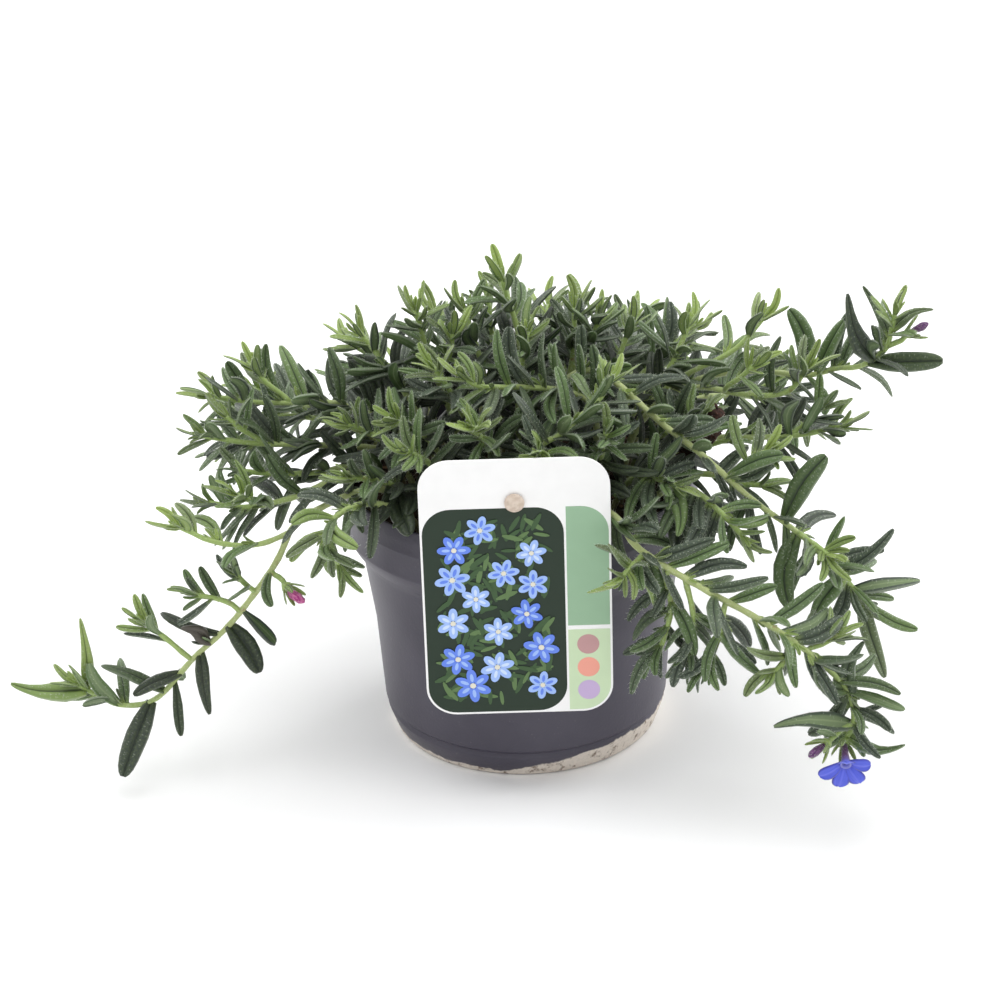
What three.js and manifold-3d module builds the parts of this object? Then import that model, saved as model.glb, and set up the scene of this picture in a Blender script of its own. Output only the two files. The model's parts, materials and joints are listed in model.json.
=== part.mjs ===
// Potted lithodora: a creeping evergreen with blue flowers, in its round nursery pot with a label.
// Millimetres, +Z up. The origin is the middle of the pot's underside, and the label faces -Y.
import * as THREE from 'three';
import { mergeVertices } from 'three/addons/utils/BufferGeometryUtils.js';
import Module from 'manifold-3d';

const wasm = await Module();
wasm.setup();

// Driving dimensions
const gap = 0.3; // clearance between two pieces that touch
const pot = { rim: 60, height: 94, wall: 1.2, sides: 32, padRadius: 19, channelHeight: 4 };
const drain = { count: 6, radius: 3.5, ring: 31, sides: 8 };
const soil = { top: 84, crown: 3, holeDepth: 9, sides: 16, holeRadius: 2.4, roughness: 0.9 };
const label = { width: 61, bottom: 33, top: 125, corner: 10, thickness: 0.7, centreX: -2 };
const peg = { z: 110, shank: 2.3, head: 3.2, headThickness: 1.2, bladeWidth: 5, bladeThickness: 1.6,
  foot: 79 };
const stem = { radius: 1.2, tipRadius: 0.8, shootRadius: 0.9, step: 3, stepsToBend: 3, held: 5 };
const leaf = { young: 11, grown: 20, slimness: 0.2, keel: 1.1, firstGap: 1.3, gapGrowth: 1.1, widestGap: 10 };
const spacing = { stems: 4.4, rounds: 60, leaves: 2.35, leafToStem: 2.9, ownLeaves: 1.5, ownStem: 1.7,
  bloom: 2.8 };
const flower = { cup: 1.3, tube: 8.5, throat: 2.1, lobe: 6.4, lobeWidth: 5.6, lobes: 5,
  turns: [5, 92, -152, -101, -56], reach: [0.95, 0.8, 1.2, 1.25, 1.15], lean: [0.34, 1.3, 0.3, 0.25, 0.3] };
const goldenAngle = THREE.MathUtils.degToRad(137.5);
const up = new THREE.Vector3(0, 0, 1);

// The leafy stems: a name, the hole in the soil, the route by hand, and what grows on the way.
// A side shoot is a route of its own that starts on the stem. A placed leaf runs from base to tip.
const leafyStems = [
  {
    name: 'stem_long_left', hole: [-38, -19], leaves: 12,
    route: [[-44, -25, 98], [-54, -30, 100], [-66, -33, 96], [-75, -34, 90], [-80, -35, 80], [-86, -36, 71],
      [-98, -37, 56], [-111, -38, 44], [-124, -39, 30], [-136, -38, 27], [-146, -36, 31], [-151, -35, 34]],
    shoots: [
      [[-76, -34, 88], [-87, -40, 87], [-100, -43, 90], [-111, -45, 97]],
      [[-89, -36, 68], [-92, -38, 72], [-94, -39, 76]],
      [[-94, -37, 62], [-100, -38, 66], [-108, -38, 68]],
      [[-112, -38, 44], [-119, -37, 51], [-126, -36, 57]],
    ],
    placed: [
      [[-126, -39, 29], [-136, -57, 11]], [[-97, -37, 57], [-88, -48, 44]],
      [[-137, -38, 27], [-147, -36, 43]], [[-150, -35, 33], [-174, -34, 33]],
      [[-151, -35, 34], [-149, -34, 57]], [[-115, -39, 39], [-131, -46, 37]],
      [[-106, -37, 50], [-110, -41, 59]],
    ],
    withered: [[-84, -35.5, 74], [-80, -38.5, 74], [-78, -41, 72]],
  },
  { name: 'stem_left_low', hole: [-43, -9], leaves: 7,
    route: [[-50, -12, 98], [-60, -15, 99], [-73, -18, 94], [-90, -22, 92], [-103, -24, 95]],
    shoots: [[[-82, -20, 93], [-88, -26, 96], [-93, -29, 100]]] },
  { name: 'stem_left_level', hole: [-45, 0], leaves: 6,
    route: [[-52, -4, 98], [-66, -9, 98], [-80, -12, 99], [-92, -15, 102]] },
  { name: 'stem_left_rise', hole: [-40, 6], leaves: 8,
    route: [[-45, 5, 98], [-60, 0, 103], [-75, -4, 106], [-90, -8, 109], [-105, -10, 113]],
    shoots: [[[-84, -7, 108], [-92, -8, 114], [-97, -8, 119]]] },
  { name: 'stem_left_high', hole: [-32, 8], leaves: 9,
    route: [[-38, 8, 102], [-50, 4, 113], [-64, 3, 118], [-85, 2, 119], [-103, 2, 122]],
    shoots: [[[-76, 3, 119], [-84, 3, 126], [-87, 3, 131]]] },
  { name: 'stem_front_left_drop', hole: [-33, -32], leaves: 8,
    route: [[-40, -37, 97], [-52, -43, 102], [-61, -48, 99], [-63, -53, 94], [-59, -56, 87]] },
  { name: 'stem_front_left_short', hole: [-31, -22], leaves: 6,
    route: [[-38, -26, 98], [-46, -30, 104], [-55, -35, 108]] },
  { name: 'stem_front_left_rise', hole: [-20, -30], leaves: 6,
    route: [[-24, -32, 100], [-29, -35, 112], [-36, -44, 121]] },
  { name: 'stem_up_left_low', hole: [-26, 0], leaves: 7,
    route: [[-31, 2, 106], [-40, 5, 124], [-52, 10, 140]] },
  { name: 'stem_up_left', hole: [-17, 8], leaves: 7,
    route: [[-22, 8, 108], [-29, 8, 130], [-33, 9, 148]],
    shoots: [[[-27, 8, 124], [-22, 3, 134], [-21, 2, 142]]] },
  { name: 'stem_up_centre_left', hole: [-7, 4], leaves: 6,
    route: [[-9, 5, 108], [-12, 8, 129], [-17, 14, 146]] },
  { name: 'stem_tallest', hole: [3, 9], leaves: 8,
    route: [[2, 10, 110], [1, 12, 136], [-2, 14, 148], [-4, 15, 156]] },
  { name: 'stem_up_centre', hole: [12, 6], leaves: 6,
    route: [[15, 7, 110], [19, 9, 130], [20, 12, 146]],
    shoots: [[[18, 8, 124], [25, 10, 134], [28, 12, 142]]] },
  { name: 'stem_up_right', hole: [21, 3], leaves: 6,
    route: [[26, 4, 108], [34, 8, 128], [39, 12, 140]] },
  { name: 'stem_up_far_right', hole: [29, 6], leaves: 6,
    route: [[37, 6, 106], [50, 5, 124], [58, 8, 140]] },
  { name: 'stem_cross_centre', hole: [24, -10], leaves: 9,
    route: [[26, -12, 108], [24, -14, 122], [15, -18, 129], [2, -21, 132], [-12, -24, 134],
      [-17, -25, 138]] },
  { name: 'stem_front_centre', hole: [-6, -22], leaves: 6,
    route: [[-8, -27, 104], [-10, -36, 118], [-15, -46, 130]] },
  { name: 'stem_front_rise', hole: [2, -34], leaves: 8,
    route: [[3, -36, 100], [6, -38, 115], [15, -38, 124], [26, -33, 132], [30, -30, 137]] },
  { name: 'stem_front_right_rise', hole: [19, -30], leaves: 6,
    route: [[22, -32, 98], [26, -34, 110], [28, -43, 125]] },
  { name: 'stem_front_right_out', hole: [29, -27], leaves: 7,
    route: [[34, -30, 99], [40, -34, 105], [50, -44, 106]] },
  {
    name: 'stem_arching_right', hole: [10, -5], leaves: 11,
    route: [[11, -4, 108], [16, -5, 126], [24, -9, 132], [33, -14, 129], [46, -27, 121], [59, -36, 113],
      [75, -44, 100], [89, -48, 90], [98, -51, 82], [106, -53, 73], [111, -54, 66]],
    shoots: [[[90, -48, 89], [94, -53, 88], [98, -59, 87]], [[68, -41, 106], [74, -40, 112], [80, -41, 116]]],
    placed: [
      [[84, -46, 94], [96, -50, 118]], [[103, -52, 77], [119, -52, 93]], [[97, -50, 82], [104, -50, 96]],
      [[108, -53, 70], [129, -54, 74]], [[110, -54, 66], [128, -57, 58]], [[109, -54, 67], [119, -61, 42]],
      [[90, -49, 89], [86, -60, 68]], [[104, -53, 75], [92, -64, 62]],
    ],
  },
  {
    name: 'stem_flowering', hole: [24, -39], leaves: 10,
    route: [[27, -45, 97], [31, -53, 99], [38, -62, 92], [57, -70, 82], [73, -75, 74], [85, -79, 67],
      [97, -82, 57], [103, -84, 49], [104, -87, 41], [101, -89, 35]],
    shoots: [
      [[39, -63, 91], [35, -68, 90], [31, -73, 88]],
      [[45, -66, 86], [47, -69, 74], [43, -72, 60]],
      [[52, -68, 83], [54, -71, 72], [52, -73, 60]],
      [[64, -72, 78], [62, -74, 66], [57, -75, 56]],
      [[85, -79, 66], [82, -84, 62], [78, -87, 60]],
      [[88, -80, 64], [94, -77, 64], [100, -75, 66]],
    ],
    placed: [
      [[104, -85, 45], [107, -82, 67]], [[102, -84, 50], [88, -89, 60]], [[103, -87, 41], [82, -93, 49]],
      [[103, -88, 38], [119, -88, 31]], [[104, -86, 43], [114, -84, 46]], [[88, -80, 64], [98, -88, 50]],
    ],
    bloom: [-0.05, -0.965, -0.26],
    bud: [[104, -87, 41], [99, -91, 40], [95, -94, 38]],
  },
  { name: 'stem_front_right_hang', hole: [38, -29], leaves: 8,
    route: [[45, -34, 98], [55, -41, 103], [63, -50, 100], [71, -56, 93]] },
  { name: 'stem_right_low', hole: [41, -9], leaves: 6,
    route: [[48, -10, 98], [58, -12, 103], [70, -16, 109]] },
  { name: 'stem_right_out', hole: [42, -20], leaves: 6,
    route: [[50, -23, 98], [62, -26, 101], [72, -29, 99], [80, -32, 99]] },
  { name: 'stem_right_level', hole: [45, 2], leaves: 8,
    route: [[52, 1, 98], [62, 0, 102], [80, -5, 104], [95, -8, 106], [107, -11, 110]],
    shoots: [[[90, -7, 105], [97, -6, 110], [101, -7, 115]]] },
  { name: 'stem_right_raised', hole: [34, -4], leaves: 9,
    route: [[38, -3, 104], [48, -1, 117], [60, 0, 121], [76, -1, 118], [90, 0, 118], [97, 0, 127]],
    shoots: [[[68, -1, 120], [74, -5, 126], [78, -7, 131]]] },
  {
    name: 'stem_right_high', hole: [37, 15], leaves: 10,
    route: [[44, 16, 104], [58, 18, 114], [72, 18, 118], [83, 18, 118], [99, 16, 117], [108, 14, 120],
      [116, 13, 121], [124, 12, 127], [126, 12, 134], [127, 12, 140]],
    placed: [
      [[121, 13, 124], [113, 12, 148]], [[125, 12, 131], [117, 20, 147]], [[126, 12, 133], [139, 10, 143]],
      [[118, 13, 122], [143, 9, 125]], [[103, 15, 118], [109, 13, 138]], [[100, 16, 117], [94, 16, 141]],
    ],
    bud: [[125, 12, 129], [129, 10, 131], [131, 9, 134]],
  },
  { name: 'stem_right_back_rise', hole: [35, 7], leaves: 6,
    route: [[41, 8, 106], [54, 8, 120], [73, 9, 130], [83, 12, 140]] },
  { name: 'stem_back_right_trail', hole: [42, 24], leaves: 8,
    route: [[50, 29, 98], [66, 36, 101], [82, 44, 97], [96, 51, 89], [104, 56, 80]],
    shoots: [[[80, 43, 98], [88, 41, 103], [95, 40, 108]]] },
  { name: 'stem_back_right', hole: [33, 32], leaves: 7,
    route: [[41, 40, 98], [54, 51, 101], [66, 62, 96], [76, 72, 85]] },
  { name: 'stem_back_right_drop', hole: [20, 40], leaves: 8,
    route: [[25, 49, 98], [32, 62, 101], [40, 76, 93], [46, 88, 80], [50, 95, 66]],
    shoots: [[[42, 79, 90], [50, 80, 92], [57, 82, 96]]] },
  { name: 'stem_back_middle', hole: [5, 43], leaves: 8,
    route: [[6, 53, 98], [8, 67, 101], [11, 81, 97], [14, 93, 88]] },
  { name: 'stem_back_left_drop', hole: [-11, 42], leaves: 10,
    route: [[-14, 52, 98], [-19, 66, 101], [-24, 80, 92], [-27, 90, 78], [-30, 97, 64], [-34, 101, 52]],
    shoots: [[[-25, 82, 89], [-33, 84, 90], [-40, 86, 94]]] },
  { name: 'stem_back_left', hole: [-26, 35], leaves: 7,
    route: [[-33, 44, 98], [-44, 57, 101], [-55, 70, 94], [-62, 80, 82]] },
  { name: 'stem_back_left_trail', hole: [-37, 23], leaves: 9,
    route: [[-45, 28, 98], [-62, 36, 102], [-79, 43, 98], [-94, 50, 88], [-106, 55, 76]],
    shoots: [[[-76, 42, 99], [-84, 38, 104], [-92, 37, 109]]] },
  { name: 'stem_left_back', hole: [-43, 14], leaves: 7,
    route: [[-51, 16, 99], [-66, 19, 104], [-81, 22, 105], [-96, 25, 102]] },
  { name: 'stem_back_rise_left', hole: [-14, 26], leaves: 6,
    route: [[-17, 31, 104], [-23, 42, 119], [-28, 52, 129]] },
  { name: 'stem_back_rise_middle', hole: [5, 28], leaves: 6,
    route: [[6, 34, 106], [9, 45, 121], [12, 56, 129]] },
  { name: 'stem_back_rise_right', hole: [23, 22], leaves: 6,
    route: [[27, 28, 106], [36, 37, 120], [43, 46, 127]] },
  { name: 'stem_left_shoulder', hole: [-28, 16], leaves: 7,
    route: [[-34, 19, 106], [-45, 26, 120], [-57, 33, 127]] },
  { name: 'stem_middle_right', hole: [13, 18], leaves: 6,
    route: [[15, 22, 108], [19, 28, 126], [22, 33, 138]] },
  { name: 'stem_middle_left', hole: [-5, 18], leaves: 6,
    route: [[-6, 22, 110], [-8, 27, 130], [-9, 31, 142]] },
  { name: 'stem_left_middle', hole: [-34, -10], leaves: 6,
    route: [[-39, -11, 101], [-47, -13, 112], [-56, -17, 119]] },
  { name: 'stem_left_centre', hole: [-22, -14], leaves: 6,
    route: [[-26, -17, 106], [-33, -22, 118], [-40, -28, 125]] },
  { name: 'stem_centre_left', hole: [-13, -7], leaves: 6,
    route: [[-16, -8, 110], [-22, -12, 127], [-27, -15, 137]] },
  { name: 'stem_centre', hole: [0, -6], leaves: 6,
    route: [[0, -5, 110], [1, -4, 128], [4, -3, 144]] },
  { name: 'stem_centre_front', hole: [12, -19], leaves: 6,
    route: [[13, -24, 104], [12, -30, 112], [6, -50, 122]] },
  { name: 'stem_right_centre', hole: [33, -14], leaves: 6,
    route: [[41, -16, 106], [51, -19, 114], [61, -22, 119]] },
  { name: 'stem_right_shoulder', hole: [29, 15], leaves: 6,
    route: [[36, 20, 108], [50, 28, 121], [62, 34, 128]] },
];
const twig = { hole: [48, -14], radius: 1.3, tip: 0.9,
  route: [[49, -15, 98], [56, -20, 107], [62, -23, 115], [66, -24, 123]] };

// Colours and finishes
const finish = {
  pot: new THREE.MeshStandardMaterial({ color: '#504f5a', roughness: 0.55, metalness: 0 }),
  soil: new THREE.MeshStandardMaterial({ color: '#2f211a', roughness: 1, metalness: 0 }),
  label: new THREE.MeshStandardMaterial({ color: '#f2f2ef', roughness: 0.35, metalness: 0 }),
  peg: new THREE.MeshStandardMaterial({ color: '#b79a7c', roughness: 0.5, metalness: 0 }),
  leaf: new THREE.MeshStandardMaterial({ color: '#4b6b45', roughness: 0.6, metalness: 0 }),
  corolla: new THREE.MeshStandardMaterial({ color: '#3f55cf', roughness: 0.6, metalness: 0 }),
  bud: new THREE.MeshStandardMaterial({ color: '#6a2a66', roughness: 0.6, metalness: 0 }),
  withered: new THREE.MeshStandardMaterial({ color: '#c0508f', roughness: 0.8, metalness: 0 }),
  twig: new THREE.MeshStandardMaterial({ color: '#5b3a28', roughness: 0.9, metalness: 0 }),
};

const plant = new THREE.Group();

function addPiece(name, geometry, material) {
  const mesh = new THREE.Mesh(geometry, material);
  mesh.name = name;
  plant.add(mesh);
}

// Solids: geometry to manifold and back
function toSolid(geometry) {
  const bare = geometry.clone();
  bare.deleteAttribute('normal');
  bare.deleteAttribute('uv');
  const merged = mergeVertices(bare, 1e-3);
  const position = merged.getAttribute('position');
  const corners = merged.getIndex().array;
  const triVerts = [];
  for (let i = 0; i < corners.length; i += 3) {
    const [a, b, c] = [corners[i], corners[i + 1], corners[i + 2]];
    if (a !== b && b !== c && c !== a) triVerts.push(a, b, c);
  }
  return new wasm.Manifold(new wasm.Mesh({
    numProp: 3,
    vertProperties: new Float32Array(position.array),
    triVerts: new Uint32Array(triVerts),
  }));
}

function toGeometry(solid) {
  const mesh = largestShell(solid.getMesh());
  const geometry = new THREE.BufferGeometry();
  geometry.setAttribute('position', new THREE.BufferAttribute(new Float32Array(mesh.points), 3));
  geometry.setIndex(mesh.corners);
  geometry.computeVertexNormals();
  return geometry;
}

// Keeps the outer shell of a joined solid: a sealed hollow is filled and a loose scrap is dropped.
function largestShell(mesh) {
  const parent = Array.from({ length: mesh.numVert }, (_, i) => i);
  const find = (i) => {
    while (parent[i] !== i) {
      parent[i] = parent[parent[i]];
      i = parent[i];
    }
    return i;
  };
  for (let i = 0; i < mesh.triVerts.length; i += 3) {
    const root = find(mesh.triVerts[i]);
    parent[find(mesh.triVerts[i + 1])] = root;
    parent[find(mesh.triVerts[i + 2])] = root;
  }
  const sizes = new Map();
  for (let i = 0; i < mesh.triVerts.length; i += 3) {
    const root = find(mesh.triVerts[i]);
    sizes.set(root, (sizes.get(root) ?? 0) + 1);
  }
  const keep = [...sizes].sort((a, b) => b[1] - a[1])[0][0];
  const corners = [];
  for (let i = 0; i < mesh.triVerts.length; i += 3) {
    if (find(mesh.triVerts[i]) !== keep) continue;
    corners.push(mesh.triVerts[i], mesh.triVerts[i + 1], mesh.triVerts[i + 2]);
  }
  return { points: mesh.vertProperties, corners };
}

function join(solids) {
  return solids.reduce((joined, next) => joined.add(next));
}

// A closed skin over rings of points. A ring of one point closes an end to a point, and a ring of
// more is closed by a fan. Neighbouring quads are split the opposite way, so both faces match.
function loft(rings) {
  const points = [];
  const starts = [];
  for (const ring of rings) {
    starts.push(points.length);
    points.push(...ring);
  }
  const corners = [];
  for (let i = 0; i + 1 < rings.length; i += 1) {
    const [here, next] = [rings[i].length, rings[i + 1].length];
    const [a, b] = [starts[i], starts[i + 1]];
    const count = Math.max(here, next);
    for (let k = 0; k < count; k += 1) {
      const other = (k + 1) % count;
      if (here === 1) corners.push(a, b + other, b + k);
      else if (next === 1) corners.push(a + k, a + other, b);
      else if (k % 2 === 0) corners.push(a + k, a + other, b + other, a + k, b + other, b + k);
      else corners.push(a + k, a + other, b + k, a + other, b + other, b + k);
    }
  }
  const last = rings.length - 1;
  for (let k = 1; k + 1 < rings[0].length; k += 1) corners.push(starts[0], starts[0] + k + 1, starts[0] + k);
  for (let k = 1; k + 1 < rings[last].length; k += 1) {
    corners.push(starts[last], starts[last] + k, starts[last] + k + 1);
  }
  let volume = 0;
  for (let i = 0; i < corners.length; i += 3) {
    const [p, q, r] = [points[corners[i]], points[corners[i + 1]], points[corners[i + 2]]];
    volume += p.dot(q.clone().cross(r));
  }
  if (volume < 0) corners.reverse();
  const geometry = new THREE.BufferGeometry();
  const places = points.flatMap((p) => [p.x, p.y, p.z]);
  geometry.setAttribute('position', new THREE.Float32BufferAttribute(places, 3));
  geometry.setIndex(corners);
  return geometry;
}

// Chance: one seeded row of numbers from 0 to 1
function seededRandom(seed) {
  let state = seed;
  return () => {
    state = (Math.imul(state, 1664525) + 1013904223) >>> 0;
    return state / 4294967296;
  };
}

// Pot: one moulded shell with a deep rim band, a groove above the foot and a raised, drained channel
function potOutline() {
  const { rim, height, wall, padRadius, channelHeight } = pot;
  const outer = [
    [43, 0], [46, 0], [48.6, 7.6], [48, 9], [49.1, 10.4],
    [51, 41], [54.5, 66], [56.4, 70], [60, 76], [rim, height],
  ];
  const inner = [
    [rim - wall, height], [rim - wall, 76.6], [53.2, 66], [49.8, 41], [45.5, 5.4], [0, 5.4],
  ];
  const under = [[0, 0], [padRadius, 0], [padRadius + 2, channelHeight], [41, channelHeight]];
  return { outer, inner, under };
}

function makePot() {
  const { outer, inner, under } = potOutline();
  const profile = [...under, ...outer, ...inner].map(([r, z]) => new THREE.Vector2(r, z));
  let solid = toSolid(new THREE.LatheGeometry(profile, pot.sides).rotateX(Math.PI / 2));
  for (let i = 0; i < drain.count; i += 1) {
    const turn = (i / drain.count) * 2 * Math.PI;
    const bore = new THREE.CylinderGeometry(drain.radius, drain.radius, 6, drain.sides).rotateX(Math.PI / 2);
    bore.translate(drain.ring * Math.cos(turn), drain.ring * Math.sin(turn), pot.channelHeight + 1);
    solid = solid.subtract(toSolid(bore));
  }
  addPiece('pot', toGeometry(solid), finish.pot);
}

// Radius of the pot's outside at a height, for keeping leaves clear of it
function potRadiusAt(z) {
  const { outer } = potOutline();
  for (let i = 2; i < outer.length; i += 1) {
    const [lowRadius, low] = outer[i - 1];
    const [highRadius, high] = outer[i];
    if (z <= high) return lowRadius + ((highRadius - lowRadius) * (z - low)) / (high - low);
  }
  return pot.rim;
}

// Routes: a smooth curve through points chosen by hand, then equal steps along it
function smoothRoute(points, step) {
  const ends = [points[0].clone().multiplyScalar(2).sub(points[1]), ...points];
  ends.push(points.at(-1).clone().multiplyScalar(2).sub(points.at(-2)));
  const fine = [points[0].clone()];
  for (let i = 1; i + 2 < ends.length; i += 1) {
    for (let k = 1; k <= 12; k += 1) {
      const t = k / 12;
      const weights = [
        -0.5 * t + t * t - 0.5 * t ** 3,
        1 - 2.5 * t * t + 1.5 * t ** 3,
        0.5 * t + 2 * t * t - 1.5 * t ** 3,
        -0.5 * t * t + 0.5 * t ** 3,
      ];
      const point = new THREE.Vector3();
      weights.forEach((weight, j) => point.addScaledVector(ends[i - 1 + j], weight));
      fine.push(point);
    }
  }
  const reach = [0];
  for (let i = 1; i < fine.length; i += 1) reach.push(reach[i - 1] + fine[i].distanceTo(fine[i - 1]));
  const count = Math.max(2, Math.round(reach.at(-1) / step));
  const spaced = [];
  let at = 0;
  for (let k = 0; k <= count; k += 1) {
    const goal = (reach.at(-1) * k) / count;
    while (at + 2 < reach.length && reach[at + 1] < goal) at += 1;
    const share = (goal - reach[at]) / (reach[at + 1] - reach[at]);
    spaced.push(fine[at].clone().lerp(fine[at + 1], Math.min(1, Math.max(0, share))));
  }
  return spaced;
}

const vector = (p) => new THREE.Vector3(...p);

// The first two points of a stem: just clear of the bottom of its hole, and at the soil's surface
function footOf([x, y]) {
  return [soil.top - soil.holeDepth + gap, soil.top + 1.5].map((z) => new THREE.Vector3(x, y, z));
}

// Chains: every stem and side shoot as a row of points. A shoot starts on the nearest stem point.
function makeChains() {
  const chains = [];
  leafyStems.forEach((plan, node) => {
    const points = smoothRoute([...footOf(plan.hole), ...plan.route.map(vector)], stem.step);
    const sides = plan.placed ? 4 : 3;
    const { leaves } = plan;
    const main = { node, points, leaves, parent: null, held: stem.held, radius: stem.radius, sides };
    chains.push(main);
    const shoots = (plan.shoots ?? []).map((route) => ({ route, leaves: 4 }));
    if (plan.bud) shoots.push({ route: plan.bud, leaves: 2, tip: 'bud' });
    if (plan.withered) shoots.push({ route: plan.withered, leaves: 1, tip: 'withered' });
    for (const shoot of shoots) {
      const points = smoothRoute(shoot.route.map(vector), stem.step);
      const root = nearestIndex(main.points, points[0]);
      const { leaves, tip } = shoot;
      const radius = stem.shootRadius;
      chains.push({ node, points, leaves, tip, parent: main, root, held: 1, radius, sides: 3 });
    }
  });
  const points = smoothRoute([...footOf(twig.hole), ...twig.route.map(vector)], stem.step);
  const node = leafyStems.length;
  const { radius } = twig;
  chains.push({ node, points, leaves: 0, parent: null, held: stem.held, radius, sides: 5 });
  return chains;
}

function nearestIndex(points, target) {
  let best = 0;
  points.forEach((point, i) => {
    if (point.distanceTo(target) < points[best].distanceTo(target)) best = i;
  });
  return best;
}

// Pushes stems of different nodes apart where they come too close, until they pass each other
function settle(chains) {
  for (let round = 0; round < spacing.rounds; round += 1) {
    const shifts = chains.map((chain) => chain.points.map(() => new THREE.Vector3()));
    chains.forEach((chain, i) => {
      for (let j = i + 1; j < chains.length; j += 1) {
        const other = chains[j];
        if (other.node === chain.node) continue;
        chain.points.forEach((point, a) => {
          other.points.forEach((near, b) => {
            if (Math.abs(point.x - near.x) > spacing.stems) return;
            if (Math.abs(point.y - near.y) > spacing.stems) return;
            const apart = point.distanceTo(near);
            if (apart >= spacing.stems || apart < 1e-6) return;
            const push = point.clone().sub(near).multiplyScalar((0.35 * (spacing.stems - apart)) / apart);
            if (a >= chain.held) shifts[i][a].add(push);
            if (b >= other.held) shifts[j][b].sub(push);
          });
        });
      }
    });
    chains.forEach((chain, i) => {
      const smooth = shifts[i].map((shift, a) => {
        const before = shifts[i][Math.max(a - 1, 0)];
        const after = shifts[i][Math.min(a + 1, shifts[i].length - 1)];
        return shift.clone().multiplyScalar(0.5).addScaledVector(before, 0.25).addScaledVector(after, 0.25);
      });
      for (let a = chain.held; a < chain.points.length; a += 1) {
        chain.points[a].add(smooth[a]);
        liftOverRim(chain.points[a], chain.radius);
      }
      if (chain.parent) chain.points[0].copy(chain.parent.points[chain.root]);
    });
  }
}

// Turns a settled chain into straight pieces, a few steps each, so that leaves root on its solid
function straighten(chain) {
  if (chain.parent) {
    const { points } = chain.parent;
    chain.points[0].copy(points[nearestIndex(points, chain.points[0])]);
  }
  const last = chain.points.length - 1;
  const pieces = Math.max(1, Math.round(last / stem.stepsToBend));
  const bends = Array.from({ length: pieces + 1 }, (_, i) => chain.points[Math.round((i * last) / pieces)]);
  chain.points = [bends[0].clone()];
  for (let i = 0; i < pieces; i += 1) {
    for (let k = 1; k <= stem.stepsToBend; k += 1) {
      chain.points.push(bends[i].clone().lerp(bends[i + 1], k / stem.stepsToBend));
    }
  }
  chain.reach = bends.slice(1).reduce((sum, bend, i) => sum + bend.distanceTo(bends[i]), 0);
  chain.step = chain.reach / (chain.points.length - 1);
}

function liftOverRim(point, radius) {
  const out = Math.hypot(point.x, point.y);
  const low = pot.height + radius + 1.2;
  if (out > pot.rim - 5 && out < pot.rim + 4 && point.z < low && point.z > pot.height - 8) point.z = low;
}

// Places already taken, kept in small cells so that only near ones are measured
class Crowd {
  constructor() {
    this.size = 3;
    this.cells = new Map();
  }

  key(x, y, z) {
    return (x + 200) * 160000 + (y + 200) * 400 + (z + 20);
  }

  add(point, node, kind) {
    const key = this.key(...point.toArray().map((value) => Math.floor(value / this.size)));
    if (!this.cells.has(key)) this.cells.set(key, []);
    this.cells.get(key).push({ point, node, kind });
  }

  near(point) {
    const [x, y, z] = point.toArray().map((value) => Math.floor(value / this.size));
    const found = [];
    for (let i = x - 1; i <= x + 1; i += 1) {
      for (let j = y - 1; j <= y + 1; j += 1) {
        for (let k = z - 1; k <= z + 1; k += 1) found.push(...(this.cells.get(this.key(i, j, k)) ?? []));
      }
    }
    return found;
  }
}

// Leaves: a blade from base to tip with its upper face along the normal and a bend along its length
function makeLeaf(base, direction, normal, length, bend) {
  const along = direction.clone().normalize();
  const face = normal.clone().addScaledVector(along, -normal.dot(along)).normalize();
  const side = along.clone().cross(face);
  return { base: base.clone(), along, face, side, length, width: leaf.slimness * length + 0.4, bend };
}

function leafMiddle(blade, u) {
  return blade.base.clone()
    .addScaledVector(blade.along, blade.length * u)
    .addScaledVector(blade.face, blade.bend * blade.length * u * u);
}

// Share of the full width at u: narrow at the base, widest past the middle, blunt at the tip
function leafSpread(u) {
  return Math.min(1, 0.35 + 1.3 * u) * Math.sqrt(Math.max(0, 1 - Math.max(0, (u - 0.6) / 0.4) ** 3));
}

function leafSamples(blade) {
  const samples = [];
  const steps = Math.ceil(blade.length / 1.8);
  for (let i = 1; i <= steps; i += 1) {
    const u = i / steps;
    const half = 0.42 * blade.width * leafSpread(Math.min(u, 0.94));
    for (const across of [-half, 0, half]) {
      samples.push({ u, point: leafMiddle(blade, u).addScaledVector(blade.side, across) });
    }
  }
  return samples;
}

function clearOfHard(point) {
  const margin = 1.5;
  if (point.z < margin) return false;
  const out = Math.hypot(point.x, point.y);
  if (point.z < pot.height + margin) {
    const inside = out < pot.rim - pot.wall - margin && point.z > soil.top + soil.crown + margin;
    if (!inside && out < potRadiusAt(point.z) + margin) return false;
  }
  const labelY = -(pot.rim + gap + label.thickness / 2);
  const aside = Math.abs(point.x - label.centreX);
  const overLabel = aside < label.width / 2 + margin
    && point.z > label.bottom - margin && point.z < label.top + margin;
  if (overLabel && Math.abs(point.y - labelY) < margin + 0.4) return false;
  const [pegFront, bladeY] = [-(pot.rim + 2 * gap + label.thickness + peg.headThickness), pegBladeY()];
  const nearHead = aside < peg.head + margin && Math.abs(point.z - peg.z) < peg.head + margin;
  if (nearHead && point.y > pegFront - margin && point.y < bladeY + 2 * margin) return false;
  const nearBlade = aside < peg.bladeWidth / 2 + margin && point.z < peg.z + margin;
  return !(nearBlade && Math.abs(point.y - bladeY) < peg.bladeThickness / 2 + 2 * margin);
}

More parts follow.
